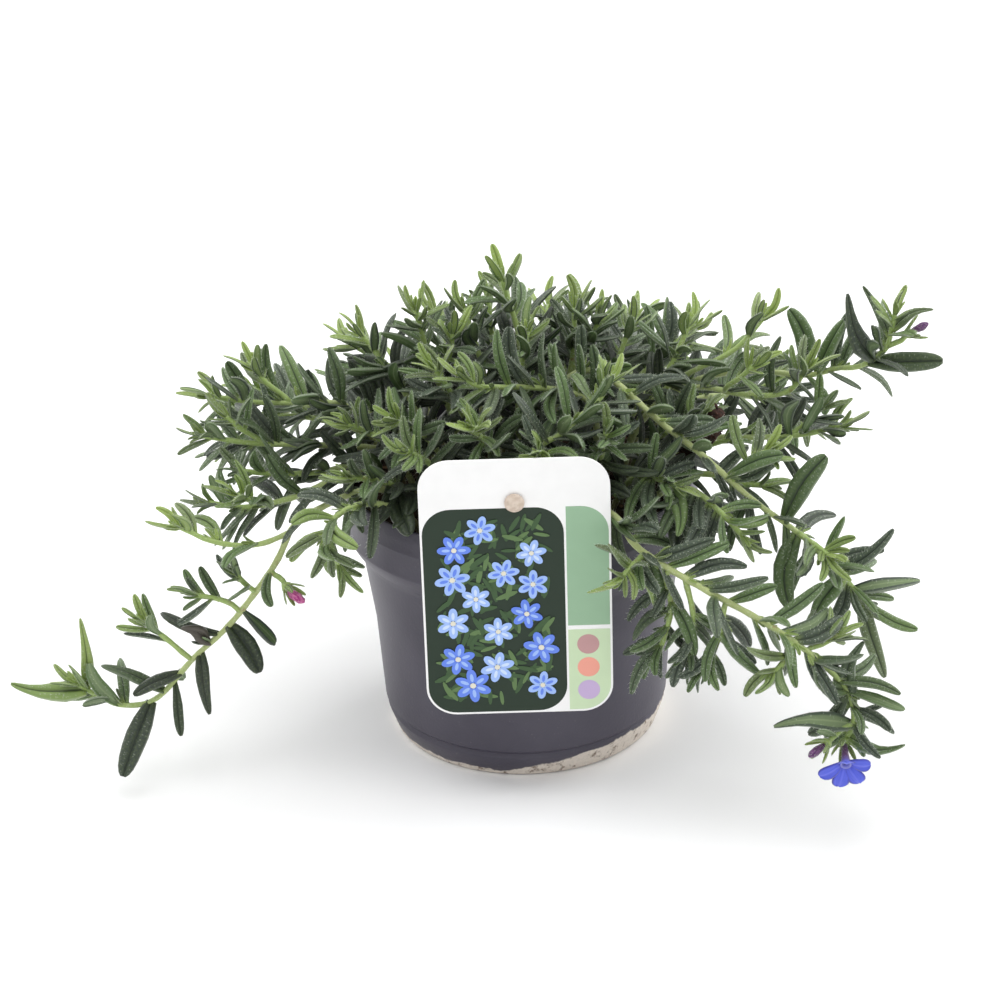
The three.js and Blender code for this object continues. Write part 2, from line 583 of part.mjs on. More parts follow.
function isClear(samples, node, crowd) {
  return samples.every(({ u, point }) => {
    if (u > 0.2 && !clearOfHard(point)) return false;
    return crowd.near(point).every((other) => {
      const apart = point.distanceTo(other.point);
      if (other.kind === 'bloom') return apart > spacing.bloom;
      if (other.node !== node) return apart > (other.kind === 'leaf' ? spacing.leaves : spacing.leafToStem);
      if (u < 0.4) return true;
      return apart > (other.kind === 'leaf' ? spacing.ownLeaves : spacing.ownStem);
    });
  });
}

function pointAlong(chain, fromTip) {
  const place = Math.max(0, chain.points.length - 1 - Math.max(fromTip, 0.9) / chain.step);
  const low = Math.min(Math.floor(place), chain.points.length - 2);
  return chain.points[low].clone().lerp(chain.points[low + 1], place - low);
}

function tangentAlong(chain, fromTip) {
  return pointAlong(chain, Math.max(0, fromTip - 1.5)).sub(pointAlong(chain, fromTip + 1.5)).normalize();
}

// The twists and tilts that a leaf may turn to, in degrees, from its own place on the spiral
const tries = [[0, 0], [28, 4], [-28, 4], [56, 10], [-56, 10], [86, -6], [-86, -6], [0, -16], [40, -18],
  [-40, -18], [120, 8], [-120, 8], [160, 0], [90, 18], [-90, 18], [180, -14]];

function growLeaf(chain, rank, fromTip, crowd, random) {
  const base = pointAlong(chain, fromTip);
  const axis = tangentAlong(chain, fromTip);
  const grown = Math.min(1, fromTip / 16);
  const draw = [random(), random(), random()];
  const length = (leaf.young + (leaf.grown - leaf.young) * grown) * (0.9 + 0.24 * draw[0]);
  const level = 1 - Math.abs(axis.z);
  const upright = up.clone().addScaledVector(axis, -axis.z);
  if (upright.length() < 0.1) upright.set(1, 0, 0).addScaledVector(axis, -axis.x);
  upright.normalize();
  const sideways = axis.clone().cross(upright);
  for (const [twist, tilt] of tries) {
    const turn = chain.turn + rank * goldenAngle + THREE.MathUtils.degToRad(twist + 20 * (draw[1] - 0.5));
    const spread = THREE.MathUtils.degToRad(Math.min(66, 12 + 15 * rank) + tilt);
    const direction = axis.clone().multiplyScalar(Math.cos(spread))
      .addScaledVector(upright, Math.sin(spread) * Math.cos(turn))
      .addScaledVector(sideways, Math.sin(spread) * Math.sin(turn))
      .addScaledVector(up, 0.22 * level)
      .normalize();
    const face = axis.clone().multiplyScalar(1 - 0.5 * level).addScaledVector(up, 0.9 * level + 0.05);
    const blade = makeLeaf(base, direction, face, length, -0.13 * grown * (0.3 + draw[2]) + 0.03);
    const samples = leafSamples(blade);
    if (!isClear(samples, chain.node, crowd)) continue;
    samples.filter(({ u }) => u > 0.15).forEach(({ point }) => crowd.add(point, chain.node, 'leaf'));
    return blade;
  }
  return null;
}

function growLeaves(chains) {
  const crowd = new Crowd();
  const random = seededRandom(20);
  const blades = leafyStems.map(() => []);
  for (const chain of chains) {
    chain.turn = random() * 2 * Math.PI;
    chain.points.forEach((point, i) => {
      crowd.add(point, chain.node, 'stem');
      if (i > 0) crowd.add(point.clone().lerp(chain.points[i - 1], 0.5), chain.node, 'stem');
    });
  }
  for (const { kind, axis, tip, node } of blooms(chains)) {
    for (let i = 0; i <= 6; i += 1) crowd.add(tip.clone().addScaledVector(axis, i * 1.6), node, 'bloom');
    if (kind !== 'flower') continue;
    const mouth = tip.clone().addScaledVector(axis, flower.tube + gap + 1);
    for (let k = 0; k < 24; k += 1) {
      const out = turned(sideOf(axis), axis, (k / 12) * 2 * Math.PI);
      crowd.add(mouth.clone().addScaledVector(out, k < 12 ? 3.5 : 6.5), node, 'bloom');
    }
  }
  leafyStems.forEach((plan, node) => {
    for (const [from, to] of plan.placed ?? []) {
      const stemPoints = chains.find((chain) => chain.node === node && !chain.parent).points;
      const base = stemPoints[Math.min(nearestIndex(stemPoints, vector(from)), stemPoints.length - 2)];
      const direction = vector(to).sub(base);
      const blade = makeLeaf(base, direction, new THREE.Vector3(0, -0.45, 0.9), direction.length(), -0.06);
      leafSamples(blade).forEach(({ point }) => crowd.add(point, node, 'leaf'));
      blades[node].push(blade);
    }
  });
  const mostLeaves = Math.max(...leafyStems.map((plan) => plan.leaves));
  for (let rank = 0; rank < mostLeaves; rank += 1) {
    for (const chain of chains) {
      if (rank >= chain.leaves) continue;
      const fromTip = leafDistance(rank);
      const lowest = chain.parent ? 1.5 : soil.holeDepth + 9;
      if (chain.reach - fromTip < lowest) continue;
      const blade = growLeaf(chain, rank, fromTip, crowd, random);
      if (blade) blades[chain.node].push(blade);
    }
  }
  return blades;
}

// Distance of a leaf from the shoot's tip: close together in the rosette, then further apart
function leafDistance(rank) {
  let distance = 0;
  for (let k = 0; k < rank; k += 1) distance += Math.min(leaf.widestGap, leaf.firstGap + leaf.gapGrowth * k);
  return distance;
}

// Stem and blade solids
function ringAround(centre, axis, radius, sides, turn = 0) {
  const across = Math.abs(axis.z) < 0.8 ? up.clone() : new THREE.Vector3(1, 0, 0);
  const right = across.cross(axis).normalize();
  const above = axis.clone().cross(right);
  return Array.from({ length: sides }, (_, k) => {
    const angle = turn + (k / sides) * 2 * Math.PI;
    return centre.clone()
      .addScaledVector(right, radius * Math.cos(angle))
      .addScaledVector(above, radius * Math.sin(angle));
  });
}

function tube(points, startRadius, endRadius, sides) {
  const picked = points.filter((_, i) => i % stem.stepsToBend === 0);
  let right = null;
  const rings = picked.map((point, i) => {
    const before = picked[Math.max(i - 1, 0)];
    const after = picked[Math.min(i + 1, picked.length - 1)];
    const axis = after.clone().sub(before).normalize();
    if (!right) right = new THREE.Vector3(0, 1, 0).cross(axis);
    if (right.length() < 0.1) right.set(1, 0, 0);
    right = right.clone().addScaledVector(axis, -right.dot(axis)).normalize();
    const above = axis.clone().cross(right);
    const radius = startRadius + ((endRadius - startRadius) * i) / (picked.length - 1);
    return Array.from({ length: sides }, (_, k) => {
      const angle = (k / sides) * 2 * Math.PI;
      return point.clone()
        .addScaledVector(right, radius * Math.cos(angle))
        .addScaledVector(above, radius * Math.sin(angle));
    });
  });
  return loft(rings);
}

// A blade of three-sided sections: two edges and a keel under the midrib, with its root in the stem
function bladeGeometry(blade, places, keel) {
  const rings = [[blade.base.clone()]];
  for (const u of places) {
    const half = 0.5 * blade.width * leafSpread(u);
    const middle = leafMiddle(blade, u);
    rings.push([
      middle.clone().addScaledVector(blade.side, -half),
      middle.clone().addScaledVector(blade.side, half),
      middle.clone().addScaledVector(blade.face, -keel),
    ]);
  }
  rings.push([leafMiddle(blade, 1)]);
  return loft(rings);
}

function bladeSolid(blade) {
  return toSolid(bladeGeometry(blade, blade.length > 21 ? [0.25, 0.6, 0.9] : [0.33, 0.82], leaf.keel));
}

// Blooms stand just clear of the stem tips that carry them
function blooms(chains) {
  const found = [];
  for (const chain of chains) {
    const plan = leafyStems[chain.node];
    const kind = chain.tip ?? (plan?.bloom && !chain.parent ? 'flower' : null);
    if (!kind) continue;
    const axis = kind === 'flower' ? vector(plan.bloom).normalize() : tangentAlong(chain, 0);
    const tip = chain.points.at(-1).clone().addScaledVector(axis, flower.cup);
    found.push({ kind, tip, axis, node: chain.node });
  }
  return found;
}

function turned(direction, axis, angle) {
  return direction.clone().applyAxisAngle(axis, angle);
}

function sideOf(axis) {
  return new THREE.Vector3(1, 0, 0).addScaledVector(axis, -axis.x).normalize();
}

// Calyx: a small cup at the stem's tip and five narrow sepals that stand clear round the tube
function calyxSolids({ tip, axis }) {
  const cup = loft([
    [tip.clone().addScaledVector(axis, -2.2 * flower.cup)],
    ringAround(tip.clone().addScaledVector(axis, -flower.cup), axis, 1.7, 5),
    ringAround(tip, axis, 2.3, 5),
  ]);
  const sepals = Array.from({ length: flower.lobes }, (_, k) => {
    const out = turned(sideOf(axis), axis, ((k + 0.5) / flower.lobes) * 2 * Math.PI);
    const base = tip.clone().addScaledVector(axis, -1).addScaledVector(out, 1.2);
    const direction = axis.clone().multiplyScalar(0.9).addScaledVector(out, 0.55);
    const blade = makeLeaf(base, direction, out.clone().negate(), 6, 0);
    blade.width = 1.5;
    return toSolid(bladeGeometry(blade, [0.35, 0.8], 0.6));
  });
  return [toSolid(cup), ...sepals];
}

function makeStemNode(plan, node, chains, blades, bloomList) {
  const own = chains.filter((chain) => chain.node === node);
  const solids = own.map(({ points, radius, sides }) => toSolid(tube(points, radius, stem.tipRadius, sides)));
  solids.push(...blades[node].map(bladeSolid));
  for (const bloom of bloomList.filter((item) => item.node === node)) solids.push(...calyxSolids(bloom));
  addPiece(plan.name, toGeometry(join(solids)), finish.leaf);
}

// Corolla: a slim funnel with five round lobes at its mouth. The lower lobes are longer, and the top
// one leans forward over the mouth.
function makeFlower({ tip, axis }) {
  const at = (distance) => tip.clone().addScaledVector(axis, distance);
  const funnel = loft([
    ringAround(at(gap), axis, 1, 10),
    ringAround(at(gap + 0.55 * flower.tube), axis, 1.2, 10),
    ringAround(at(gap + flower.tube), axis, flower.throat, 10),
    [at(gap + flower.tube - 1.4)],
  ]);
  const lobes = flower.turns.map((turn, k) => {
    const out = turned(sideOf(axis), axis, (turn * Math.PI) / 180);
    const side = axis.clone().cross(out);
    const base = at(gap + flower.tube - 1.1).addScaledVector(out, 0.9);
    const along = out.clone().multiplyScalar(0.94).addScaledVector(axis, flower.lean[k]).normalize();
    const face = axis.clone().addScaledVector(along, -axis.dot(along)).normalize();
    const half = flower.lobeWidth / 2;
    const length = flower.lobe * flower.reach[k] + 1;
    const ring = (u, spread) => [-1, 0, 1].map((v) => base.clone()
      .addScaledVector(along, u * length).addScaledVector(side, v * spread * half));
    const section = (u, spread, thickness) => {
      const row = ring(u, spread);
      return [...row, row[1].clone().addScaledVector(face, -thickness)];
    };
    return toSolid(loft([[base], section(0.3, 0.62, 0.7), section(0.7, 1, 0.8), section(0.94, 0.6, 0.7),
      ring(1.02, 0).slice(1, 2)]));
  });
  addPiece('flower_corolla', toGeometry(join([toSolid(funnel), ...lobes])), finish.corolla);
}

// Bud and withered corolla: closed spindles that taper to their tips
function makeSpindle(name, { tip, axis }, length, girth, material) {
  const shares = [[0, 0.55], [0.3, 0.8], [0.62, 1], [0.85, 0.75]];
  const at = (u) => tip.clone().addScaledVector(axis, gap + u * length);
  const rings = shares.map(([u, share], i) => ringAround(at(u), axis, girth * share, 6, 0.35 * i));
  rings.push([at(1)]);
  addPiece(name, loft(rings), material);
}

// Soil: fills the pot to just under the rim, with a plain hole for every stem, the twig and the peg
function makeSoil() {
  const floor = 5.4 + gap;
  const wall = [[0, floor], [45.5 - gap, floor], [49.8 - gap, 41], [53.2 - gap, 66], [58.8 - gap, 77.2],
    [58.8 - gap, soil.top]];
  const rings = [46, 31, 15, 0];
  const top = rings.map((r) => [r, soil.top + soil.crown * (1 - r / 58)]);
  const profile = [...wall, ...top].map(([r, z]) => new THREE.Vector2(r, z));
  const geometry = new THREE.LatheGeometry(profile, soil.sides).rotateX(Math.PI / 2);
  const position = geometry.getAttribute('position');
  for (let i = 0; i < position.count; i += 1) {
    const [x, y, z] = [position.getX(i), position.getY(i), position.getZ(i)];
    const out = Math.hypot(x, y);
    if (z < soil.top + 0.1 || out > 55) continue;
    position.setZ(i, z + soil.roughness * Math.sin(0.31 * x + 1.7) * Math.cos(0.27 * y + 0.4));
  }
  let solid = toSolid(geometry);
  const holes = [...leafyStems.map((plan) => plan.hole), twig.hole];
  for (const [x, y] of holes) {
    const bore = new THREE.CylinderGeometry(soil.holeRadius, soil.holeRadius, 2 * soil.holeDepth, 4);
    bore.rotateX(Math.PI / 2).translate(x, y, soil.top);
    solid = solid.subtract(toSolid(bore));
  }
  const slotDepth = soil.top - peg.foot + gap;
  const slot = new THREE.BoxGeometry(peg.bladeWidth + 2 * gap, peg.bladeThickness + 2 * gap, 2 * slotDepth);
  slot.translate(label.centreX, pegBladeY(), soil.top);
  solid = solid.subtract(toSolid(slot));
  addPiece('soil', toGeometry(solid), finish.soil);
}

// Label: a rounded tag that hangs on the peg against the front of the rim
function makeLabel() {
  const { width, bottom, top, corner, thickness, centreX } = label;
  const [left, right] = [-width / 2, width / 2];
  const shape = new THREE.Shape();
  shape.moveTo(left + corner, bottom);
  shape.lineTo(right - corner, bottom);
  shape.absarc(right - corner, bottom + corner, corner, -Math.PI / 2, 0, false);
  shape.absarc(right - corner, top - corner, corner, 0, Math.PI / 2, false);
  shape.absarc(left + corner, top - corner, corner, Math.PI / 2, Math.PI, false);
  shape.absarc(left + corner, bottom + corner, corner, Math.PI, 1.5 * Math.PI, false);
  const hole = new THREE.Path();
  hole.absarc(0, peg.z, peg.shank + gap, 0, 2 * Math.PI, true);
  shape.holes.push(hole);
  const plate = new THREE.ExtrudeGeometry(shape, { depth: thickness, bevelEnabled: false, curveSegments: 5 });
  plate.rotateX(Math.PI / 2).translate(centreX, -(pot.rim + gap), 0);
  addPiece('label', toGeometry(toSolid(plate)), finish.label);
}

function pegBladeY() {
  return -(pot.rim - pot.wall - 1.6 - peg.bladeThickness / 2);
}

// Peg: a round head in front of the label, a shank through its hole and a blade down into the soil
function makePeg() {
  const front = -(pot.rim + 2 * gap + label.thickness);
  const back = pegBladeY() + peg.bladeThickness / 2 - 0.2;
  const head = new THREE.CylinderGeometry(peg.head, peg.head, peg.headThickness, 16);
  head.translate(label.centreX, front - peg.headThickness / 2, peg.z);
  const shank = new THREE.CylinderGeometry(peg.shank, peg.shank, back - front + 0.4, 12);
  shank.translate(label.centreX, (front + back) / 2 - 0.2, peg.z);
  const bladeTop = peg.z + peg.shank;
  const blade = new THREE.BoxGeometry(peg.bladeWidth, peg.bladeThickness, bladeTop - peg.foot);
  blade.translate(label.centreX, pegBladeY(), (bladeTop + peg.foot) / 2);
  addPiece('label_stake', toGeometry(join([head, shank, blade].map(toSolid))), finish.peg);
}

// Twig: a dead, kinked piece of wood that stands among the leaves
function makeTwig(chains) {
  const { points, radius, sides } = chains.at(-1);
  addPiece('twig', tube(points, radius, twig.tip, sides), finish.twig);
}

const chains = makeChains();
settle(chains);
chains.forEach(straighten);
const blades = growLeaves(chains);
const bloomList = blooms(chains);

makePot();
makeSoil();
makeLabel();
makePeg();
leafyStems.forEach((plan, node) => makeStemNode(plan, node, chains, blades, bloomList));
makeTwig(chains);
for (const bloom of bloomList) {
  const stemName = leafyStems[bloom.node].name.replace('stem_', '');
  if (bloom.kind === 'flower') makeFlower(bloom);
  if (bloom.kind === 'bud') makeSpindle(`bud_${stemName}`, bloom, 7, 1.4, finish.bud);
  if (bloom.kind === 'withered') makeSpindle('withered_corolla', bloom, 7.5, 1.3, finish.withered);
}

export default plant;
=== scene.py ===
import json
import math

import bmesh
import bpy
import numpy as np
from mathutils import Matrix, Vector, noise

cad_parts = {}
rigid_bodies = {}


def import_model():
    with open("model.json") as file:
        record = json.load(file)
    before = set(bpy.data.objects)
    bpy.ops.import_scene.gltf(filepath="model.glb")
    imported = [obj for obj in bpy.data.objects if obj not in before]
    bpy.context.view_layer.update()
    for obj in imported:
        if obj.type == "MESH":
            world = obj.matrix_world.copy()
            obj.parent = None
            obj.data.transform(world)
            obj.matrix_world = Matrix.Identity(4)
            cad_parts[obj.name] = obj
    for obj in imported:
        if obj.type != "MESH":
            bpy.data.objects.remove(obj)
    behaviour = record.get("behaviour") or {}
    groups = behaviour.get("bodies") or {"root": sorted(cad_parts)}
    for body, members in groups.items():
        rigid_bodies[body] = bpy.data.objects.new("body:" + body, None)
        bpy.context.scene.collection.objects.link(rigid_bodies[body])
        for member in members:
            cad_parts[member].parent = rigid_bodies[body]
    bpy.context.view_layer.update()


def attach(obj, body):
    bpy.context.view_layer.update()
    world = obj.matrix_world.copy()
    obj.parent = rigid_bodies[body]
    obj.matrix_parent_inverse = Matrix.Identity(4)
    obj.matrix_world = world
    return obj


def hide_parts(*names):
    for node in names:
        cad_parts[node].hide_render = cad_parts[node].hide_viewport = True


# A creeping lithodora in its round nursery pot, with a few blue flowers and a label on a peg.
# The plan is in millimetres. The stems grow by the same rule as the solids, so each finer stem,
# leaf and flower stands where its solid stands.
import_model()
bpy.ops.object.select_all(action="DESELECT")
mm = 0.001
up = np.array([0.0, 0.0, 1.0])
goldenAngle = math.radians(137.5)
gap = 0.3  # between two pieces that touch

# The leafy stems: the hole in the soil, the route as given, and what grows on the way. A side shoot is
# a route of its own that starts on the stem. A placed leaf runs from its base to its tip.
leafyStems = [
    dict(name="stem_long_left", hole=(-38, -19), leaves=12,
         route=[(-44, -25, 98), (-54, -30, 100), (-66, -33, 96), (-75, -34, 90), (-80, -35, 80),
                (-86, -36, 71), (-98, -37, 56), (-111, -38, 44), (-124, -39, 30), (-136, -38, 27),
                (-146, -36, 31), (-151, -35, 34)],
         shoots=[[(-76, -34, 88), (-87, -40, 87), (-100, -43, 90), (-111, -45, 97)],
                 [(-89, -36, 68), (-92, -38, 72), (-94, -39, 76)],
                 [(-94, -37, 62), (-100, -38, 66), (-108, -38, 68)],
                 [(-112, -38, 44), (-119, -37, 51), (-126, -36, 57)]],
         placed=[[(-126, -39, 29), (-136, -57, 11), "broad"],
                 [(-97, -37, 57), (-88, -48, 44), "wide"],
                 [(-137, -38, 27), (-147, -36, 43), "pale"],
                 [(-150, -35, 33), (-174, -34, 33), "drawn"],
                 [(-151, -35, 34), (-149, -34, 57), "slim"],
                 [(-115, -39, 39), (-131, -46, 37), "broad"],
                 [(-106, -37, 50), (-110, -41, 59), "dry"]],
         withered=[(-84, -35.5, 74), (-80, -38.5, 74), (-78, -41, 72)]),
    dict(name="stem_left_low", hole=(-43, -9), leaves=7,
         route=[(-50, -12, 98), (-60, -15, 99), (-73, -18, 94), (-90, -22, 92), (-103, -24, 95)],
         shoots=[[(-82, -20, 93), (-88, -26, 96), (-93, -29, 100)]]),
    dict(name="stem_left_level", hole=(-45, 0), leaves=6,
         route=[(-52, -4, 98), (-66, -9, 98), (-80, -12, 99), (-92, -15, 102)]),
    dict(name="stem_left_rise", hole=(-40, 6), leaves=8,
         route=[(-45, 5, 98), (-60, 0, 103), (-75, -4, 106), (-90, -8, 109), (-105, -10, 113)],
         shoots=[[(-84, -7, 108), (-92, -8, 114), (-97, -8, 119)]]),
    dict(name="stem_left_high", hole=(-32, 8), leaves=9,
         route=[(-38, 8, 102), (-50, 4, 113), (-64, 3, 118), (-85, 2, 119), (-103, 2, 122)],
         shoots=[[(-76, 3, 119), (-84, 3, 126), (-87, 3, 131)]]),
    dict(name="stem_front_left_drop", hole=(-33, -32), leaves=8,
         route=[(-40, -37, 97), (-52, -43, 102), (-61, -48, 99), (-63, -53, 94), (-59, -56, 87)]),
    dict(name="stem_front_left_short", hole=(-31, -22), leaves=6,
         route=[(-38, -26, 98), (-46, -30, 104), (-55, -35, 108)]),
    dict(name="stem_front_left_rise", hole=(-20, -30), leaves=6,
         route=[(-24, -32, 100), (-29, -35, 112), (-36, -44, 121)]),
    dict(name="stem_up_left_low", hole=(-26, 0), leaves=7,
         route=[(-31, 2, 106), (-40, 5, 124), (-52, 10, 140)]),
    dict(name="stem_up_left", hole=(-17, 8), leaves=7,
         route=[(-22, 8, 108), (-29, 8, 130), (-33, 9, 148)],
         shoots=[[(-27, 8, 124), (-22, 3, 134), (-21, 2, 142)]]),
    dict(name="stem_up_centre_left", hole=(-7, 4), leaves=6,
         route=[(-9, 5, 108), (-12, 8, 129), (-17, 14, 146)]),
    dict(name="stem_tallest", hole=(3, 9), leaves=8,
         route=[(2, 10, 110), (1, 12, 136), (-2, 14, 148), (-4, 15, 156)]),
    dict(name="stem_up_centre", hole=(12, 6), leaves=6,
         route=[(15, 7, 110), (19, 9, 130), (20, 12, 146)],
         shoots=[[(18, 8, 124), (25, 10, 134), (28, 12, 142)]]),
    dict(name="stem_up_right", hole=(21, 3), leaves=6,
         route=[(26, 4, 108), (34, 8, 128), (39, 12, 140)]),
    dict(name="stem_up_far_right", hole=(29, 6), leaves=6,
         route=[(37, 6, 106), (50, 5, 124), (58, 8, 140)]),
    dict(name="stem_cross_centre", hole=(24, -10), leaves=9,
         route=[(26, -12, 108), (24, -14, 122), (15, -18, 129), (2, -21, 132), (-12, -24, 134),
                (-17, -25, 138)]),
    dict(name="stem_front_centre", hole=(-6, -22), leaves=6,
         route=[(-8, -27, 104), (-10, -36, 118), (-15, -46, 130)]),
    dict(name="stem_front_rise", hole=(2, -34), leaves=8,
         route=[(3, -36, 100), (6, -38, 115), (15, -38, 124), (26, -33, 132), (30, -30, 137)]),
    dict(name="stem_front_right_rise", hole=(19, -30), leaves=6,
         route=[(22, -32, 98), (26, -34, 110), (28, -43, 125)]),
    dict(name="stem_front_right_out", hole=(29, -27), leaves=7,
         route=[(34, -30, 99), (40, -34, 105), (50, -44, 106)]),
    dict(name="stem_arching_right", hole=(10, -5), leaves=11,
         route=[(11, -4, 108), (16, -5, 126), (24, -9, 132), (33, -14, 129), (46, -27, 121), (59, -36, 113),
                (75, -44, 100), (89, -48, 90), (98, -51, 82), (106, -53, 73), (111, -54, 66)],
         shoots=[[(90, -48, 89), (94, -53, 88), (98, -59, 87)],
                 [(68, -41, 106), (74, -40, 112), (80, -41, 116)]],
         placed=[[(84, -46, 94), (96, -50, 118), "broad"],
                 [(103, -52, 77), (119, -52, 93)],
                 [(97, -50, 82), (104, -50, 96)],
                 [(108, -53, 70), (129, -54, 74), "pale"],
                 [(110, -54, 66), (128, -57, 58)],
                 [(109, -54, 67), (119, -61, 42)],
                 [(90, -49, 89), (86, -60, 68), "broad"],
                 [(104, -53, 75), (92, -64, 62), "drawn"]]),
    dict(name="stem_flowering", hole=(24, -39), leaves=10,
         route=[(27, -45, 97), (31, -53, 99), (38, -62, 92), (57, -70, 82), (73, -75, 74), (85, -79, 67),
                (97, -82, 57), (103, -84, 49), (104, -87, 41), (101, -89, 35)],
         shoots=[[(39, -63, 91), (35, -68, 90), (31, -73, 88)],
                 [(45, -66, 86), (47, -69, 74), (43, -72, 60)],
                 [(52, -68, 83), (54, -71, 72), (52, -73, 60)],
                 [(64, -72, 78), (62, -74, 66), (57, -75, 56)],
                 [(85, -79, 66), (82, -84, 62), (78, -87, 60)],
                 [(88, -80, 64), (94, -77, 64), (100, -75, 66)]],
         placed=[[(104, -85, 45), (107, -82, 67), "hooked"],
                 [(102, -84, 50), (88, -89, 60), "upturned"],
                 [(103, -87, 41), (82, -93, 49), "upturned"],
                 [(103, -88, 38), (119, -88, 31), "upturned"],
                 [(104, -86, 43), (114, -84, 46)],
                 [(88, -80, 64), (98, -88, 50), "pale"]],
         bud=[(104, -87, 41), (99, -91, 40), (95, -94, 38)],
         bloom=(-0.05, -0.965, -0.26)),
    dict(name="stem_front_right_hang", hole=(38, -29), leaves=8,
         route=[(45, -34, 98), (55, -41, 103), (63, -50, 100), (71, -56, 93)]),
    dict(name="stem_right_low", hole=(41, -9), leaves=6,
         route=[(48, -10, 98), (58, -12, 103), (70, -16, 109)]),
    dict(name="stem_right_out", hole=(42, -20), leaves=6,
         route=[(50, -23, 98), (62, -26, 101), (72, -29, 99), (80, -32, 99)]),
    dict(name="stem_right_level", hole=(45, 2), leaves=8,
         route=[(52, 1, 98), (62, 0, 102), (80, -5, 104), (95, -8, 106), (107, -11, 110)],
         shoots=[[(90, -7, 105), (97, -6, 110), (101, -7, 115)]]),
    dict(name="stem_right_raised", hole=(34, -4), leaves=9,
         route=[(38, -3, 104), (48, -1, 117), (60, 0, 121), (76, -1, 118), (90, 0, 118), (97, 0, 127)],
         shoots=[[(68, -1, 120), (74, -5, 126), (78, -7, 131)]]),
    dict(name="stem_right_high", hole=(37, 15), leaves=10,
         route=[(44, 16, 104), (58, 18, 114), (72, 18, 118), (83, 18, 118), (99, 16, 117), (108, 14, 120),
                (116, 13, 121), (124, 12, 127), (126, 12, 134), (127, 12, 140)],
         placed=[[(121, 13, 124), (113, 12, 148), "hooked"],
                 [(125, 12, 131), (117, 20, 147), "slim"],
                 [(126, 12, 133), (139, 10, 143), "hooked"],
                 [(118, 13, 122), (143, 9, 125), "broad"],
                 [(103, 15, 118), (109, 13, 138), "broad"],
                 [(100, 16, 117), (94, 16, 141), "broad"]],
         bud=[(125, 12, 129), (129, 10, 131), (131, 9, 134)]),
    dict(name="stem_right_back_rise", hole=(35, 7), leaves=6,
         route=[(41, 8, 106), (54, 8, 120), (73, 9, 130), (83, 12, 140)]),
    dict(name="stem_back_right_trail", hole=(42, 24), leaves=8,
         route=[(50, 29, 98), (66, 36, 101), (82, 44, 97), (96, 51, 89), (104, 56, 80)],
         shoots=[[(80, 43, 98), (88, 41, 103), (95, 40, 108)]]),
    dict(name="stem_back_right", hole=(33, 32), leaves=7,
         route=[(41, 40, 98), (54, 51, 101), (66, 62, 96), (76, 72, 85)]),
    dict(name="stem_back_right_drop", hole=(20, 40), leaves=8,
         route=[(25, 49, 98), (32, 62, 101), (40, 76, 93), (46, 88, 80), (50, 95, 66)],
         shoots=[[(42, 79, 90), (50, 80, 92), (57, 82, 96)]]),
    dict(name="stem_back_middle", hole=(5, 43), leaves=8,
         route=[(6, 53, 98), (8, 67, 101), (11, 81, 97), (14, 93, 88)]),
    dict(name="stem_back_left_drop", hole=(-11, 42), leaves=10,
         route=[(-14, 52, 98), (-19, 66, 101), (-24, 80, 92), (-27, 90, 78), (-30, 97, 64), (-34, 101, 52)],
         shoots=[[(-25, 82, 89), (-33, 84, 90), (-40, 86, 94)]]),
    dict(name="stem_back_left", hole=(-26, 35), leaves=7,
         route=[(-33, 44, 98), (-44, 57, 101), (-55, 70, 94), (-62, 80, 82)]),
    dict(name="stem_back_left_trail", hole=(-37, 23), leaves=9,
         route=[(-45, 28, 98), (-62, 36, 102), (-79, 43, 98), (-94, 50, 88), (-106, 55, 76)],
         shoots=[[(-76, 42, 99), (-84, 38, 104), (-92, 37, 109)]]),
    dict(name="stem_left_back", hole=(-43, 14), leaves=7,
         route=[(-51, 16, 99), (-66, 19, 104), (-81, 22, 105), (-96, 25, 102)]),
    dict(name="stem_back_rise_left", hole=(-14, 26), leaves=6,
         route=[(-17, 31, 104), (-23, 42, 119), (-28, 52, 129)]),
    dict(name="stem_back_rise_middle", hole=(5, 28), leaves=6,
         route=[(6, 34, 106), (9, 45, 121), (12, 56, 129)]),
    dict(name="stem_back_rise_right", hole=(23, 22), leaves=6,
         route=[(27, 28, 106), (36, 37, 120), (43, 46, 127)]),
    dict(name="stem_left_shoulder", hole=(-28, 16), leaves=7,
         route=[(-34, 19, 106), (-45, 26, 120), (-57, 33, 127)]),
    dict(name="stem_middle_right", hole=(13, 18), leaves=6,
         route=[(15, 22, 108), (19, 28, 126), (22, 33, 138)]),
    dict(name="stem_middle_left", hole=(-5, 18), leaves=6,
         route=[(-6, 22, 110), (-8, 27, 130), (-9, 31, 142)]),
    dict(name="stem_left_middle", hole=(-34, -10), leaves=6,
         route=[(-39, -11, 101), (-47, -13, 112), (-56, -17, 119)]),
    dict(name="stem_left_centre", hole=(-22, -14), leaves=6,
         route=[(-26, -17, 106), (-33, -22, 118), (-40, -28, 125)]),
    dict(name="stem_centre_left", hole=(-13, -7), leaves=6,
         route=[(-16, -8, 110), (-22, -12, 127), (-27, -15, 137)]),
    dict(name="stem_centre", hole=(0, -6), leaves=6,
         route=[(0, -5, 110), (1, -4, 128), (4, -3, 144)]),
    dict(name="stem_centre_front", hole=(12, -19), leaves=6,
         route=[(13, -24, 104), (12, -30, 112), (6, -50, 122)]),
    dict(name="stem_right_centre", hole=(33, -14), leaves=6,
         route=[(41, -16, 106), (51, -19, 114), (61, -22, 119)]),
    dict(name="stem_right_shoulder", hole=(29, 15), leaves=6,
         route=[(36, 20, 108), (50, 28, 121), (62, 34, 128)]),
]


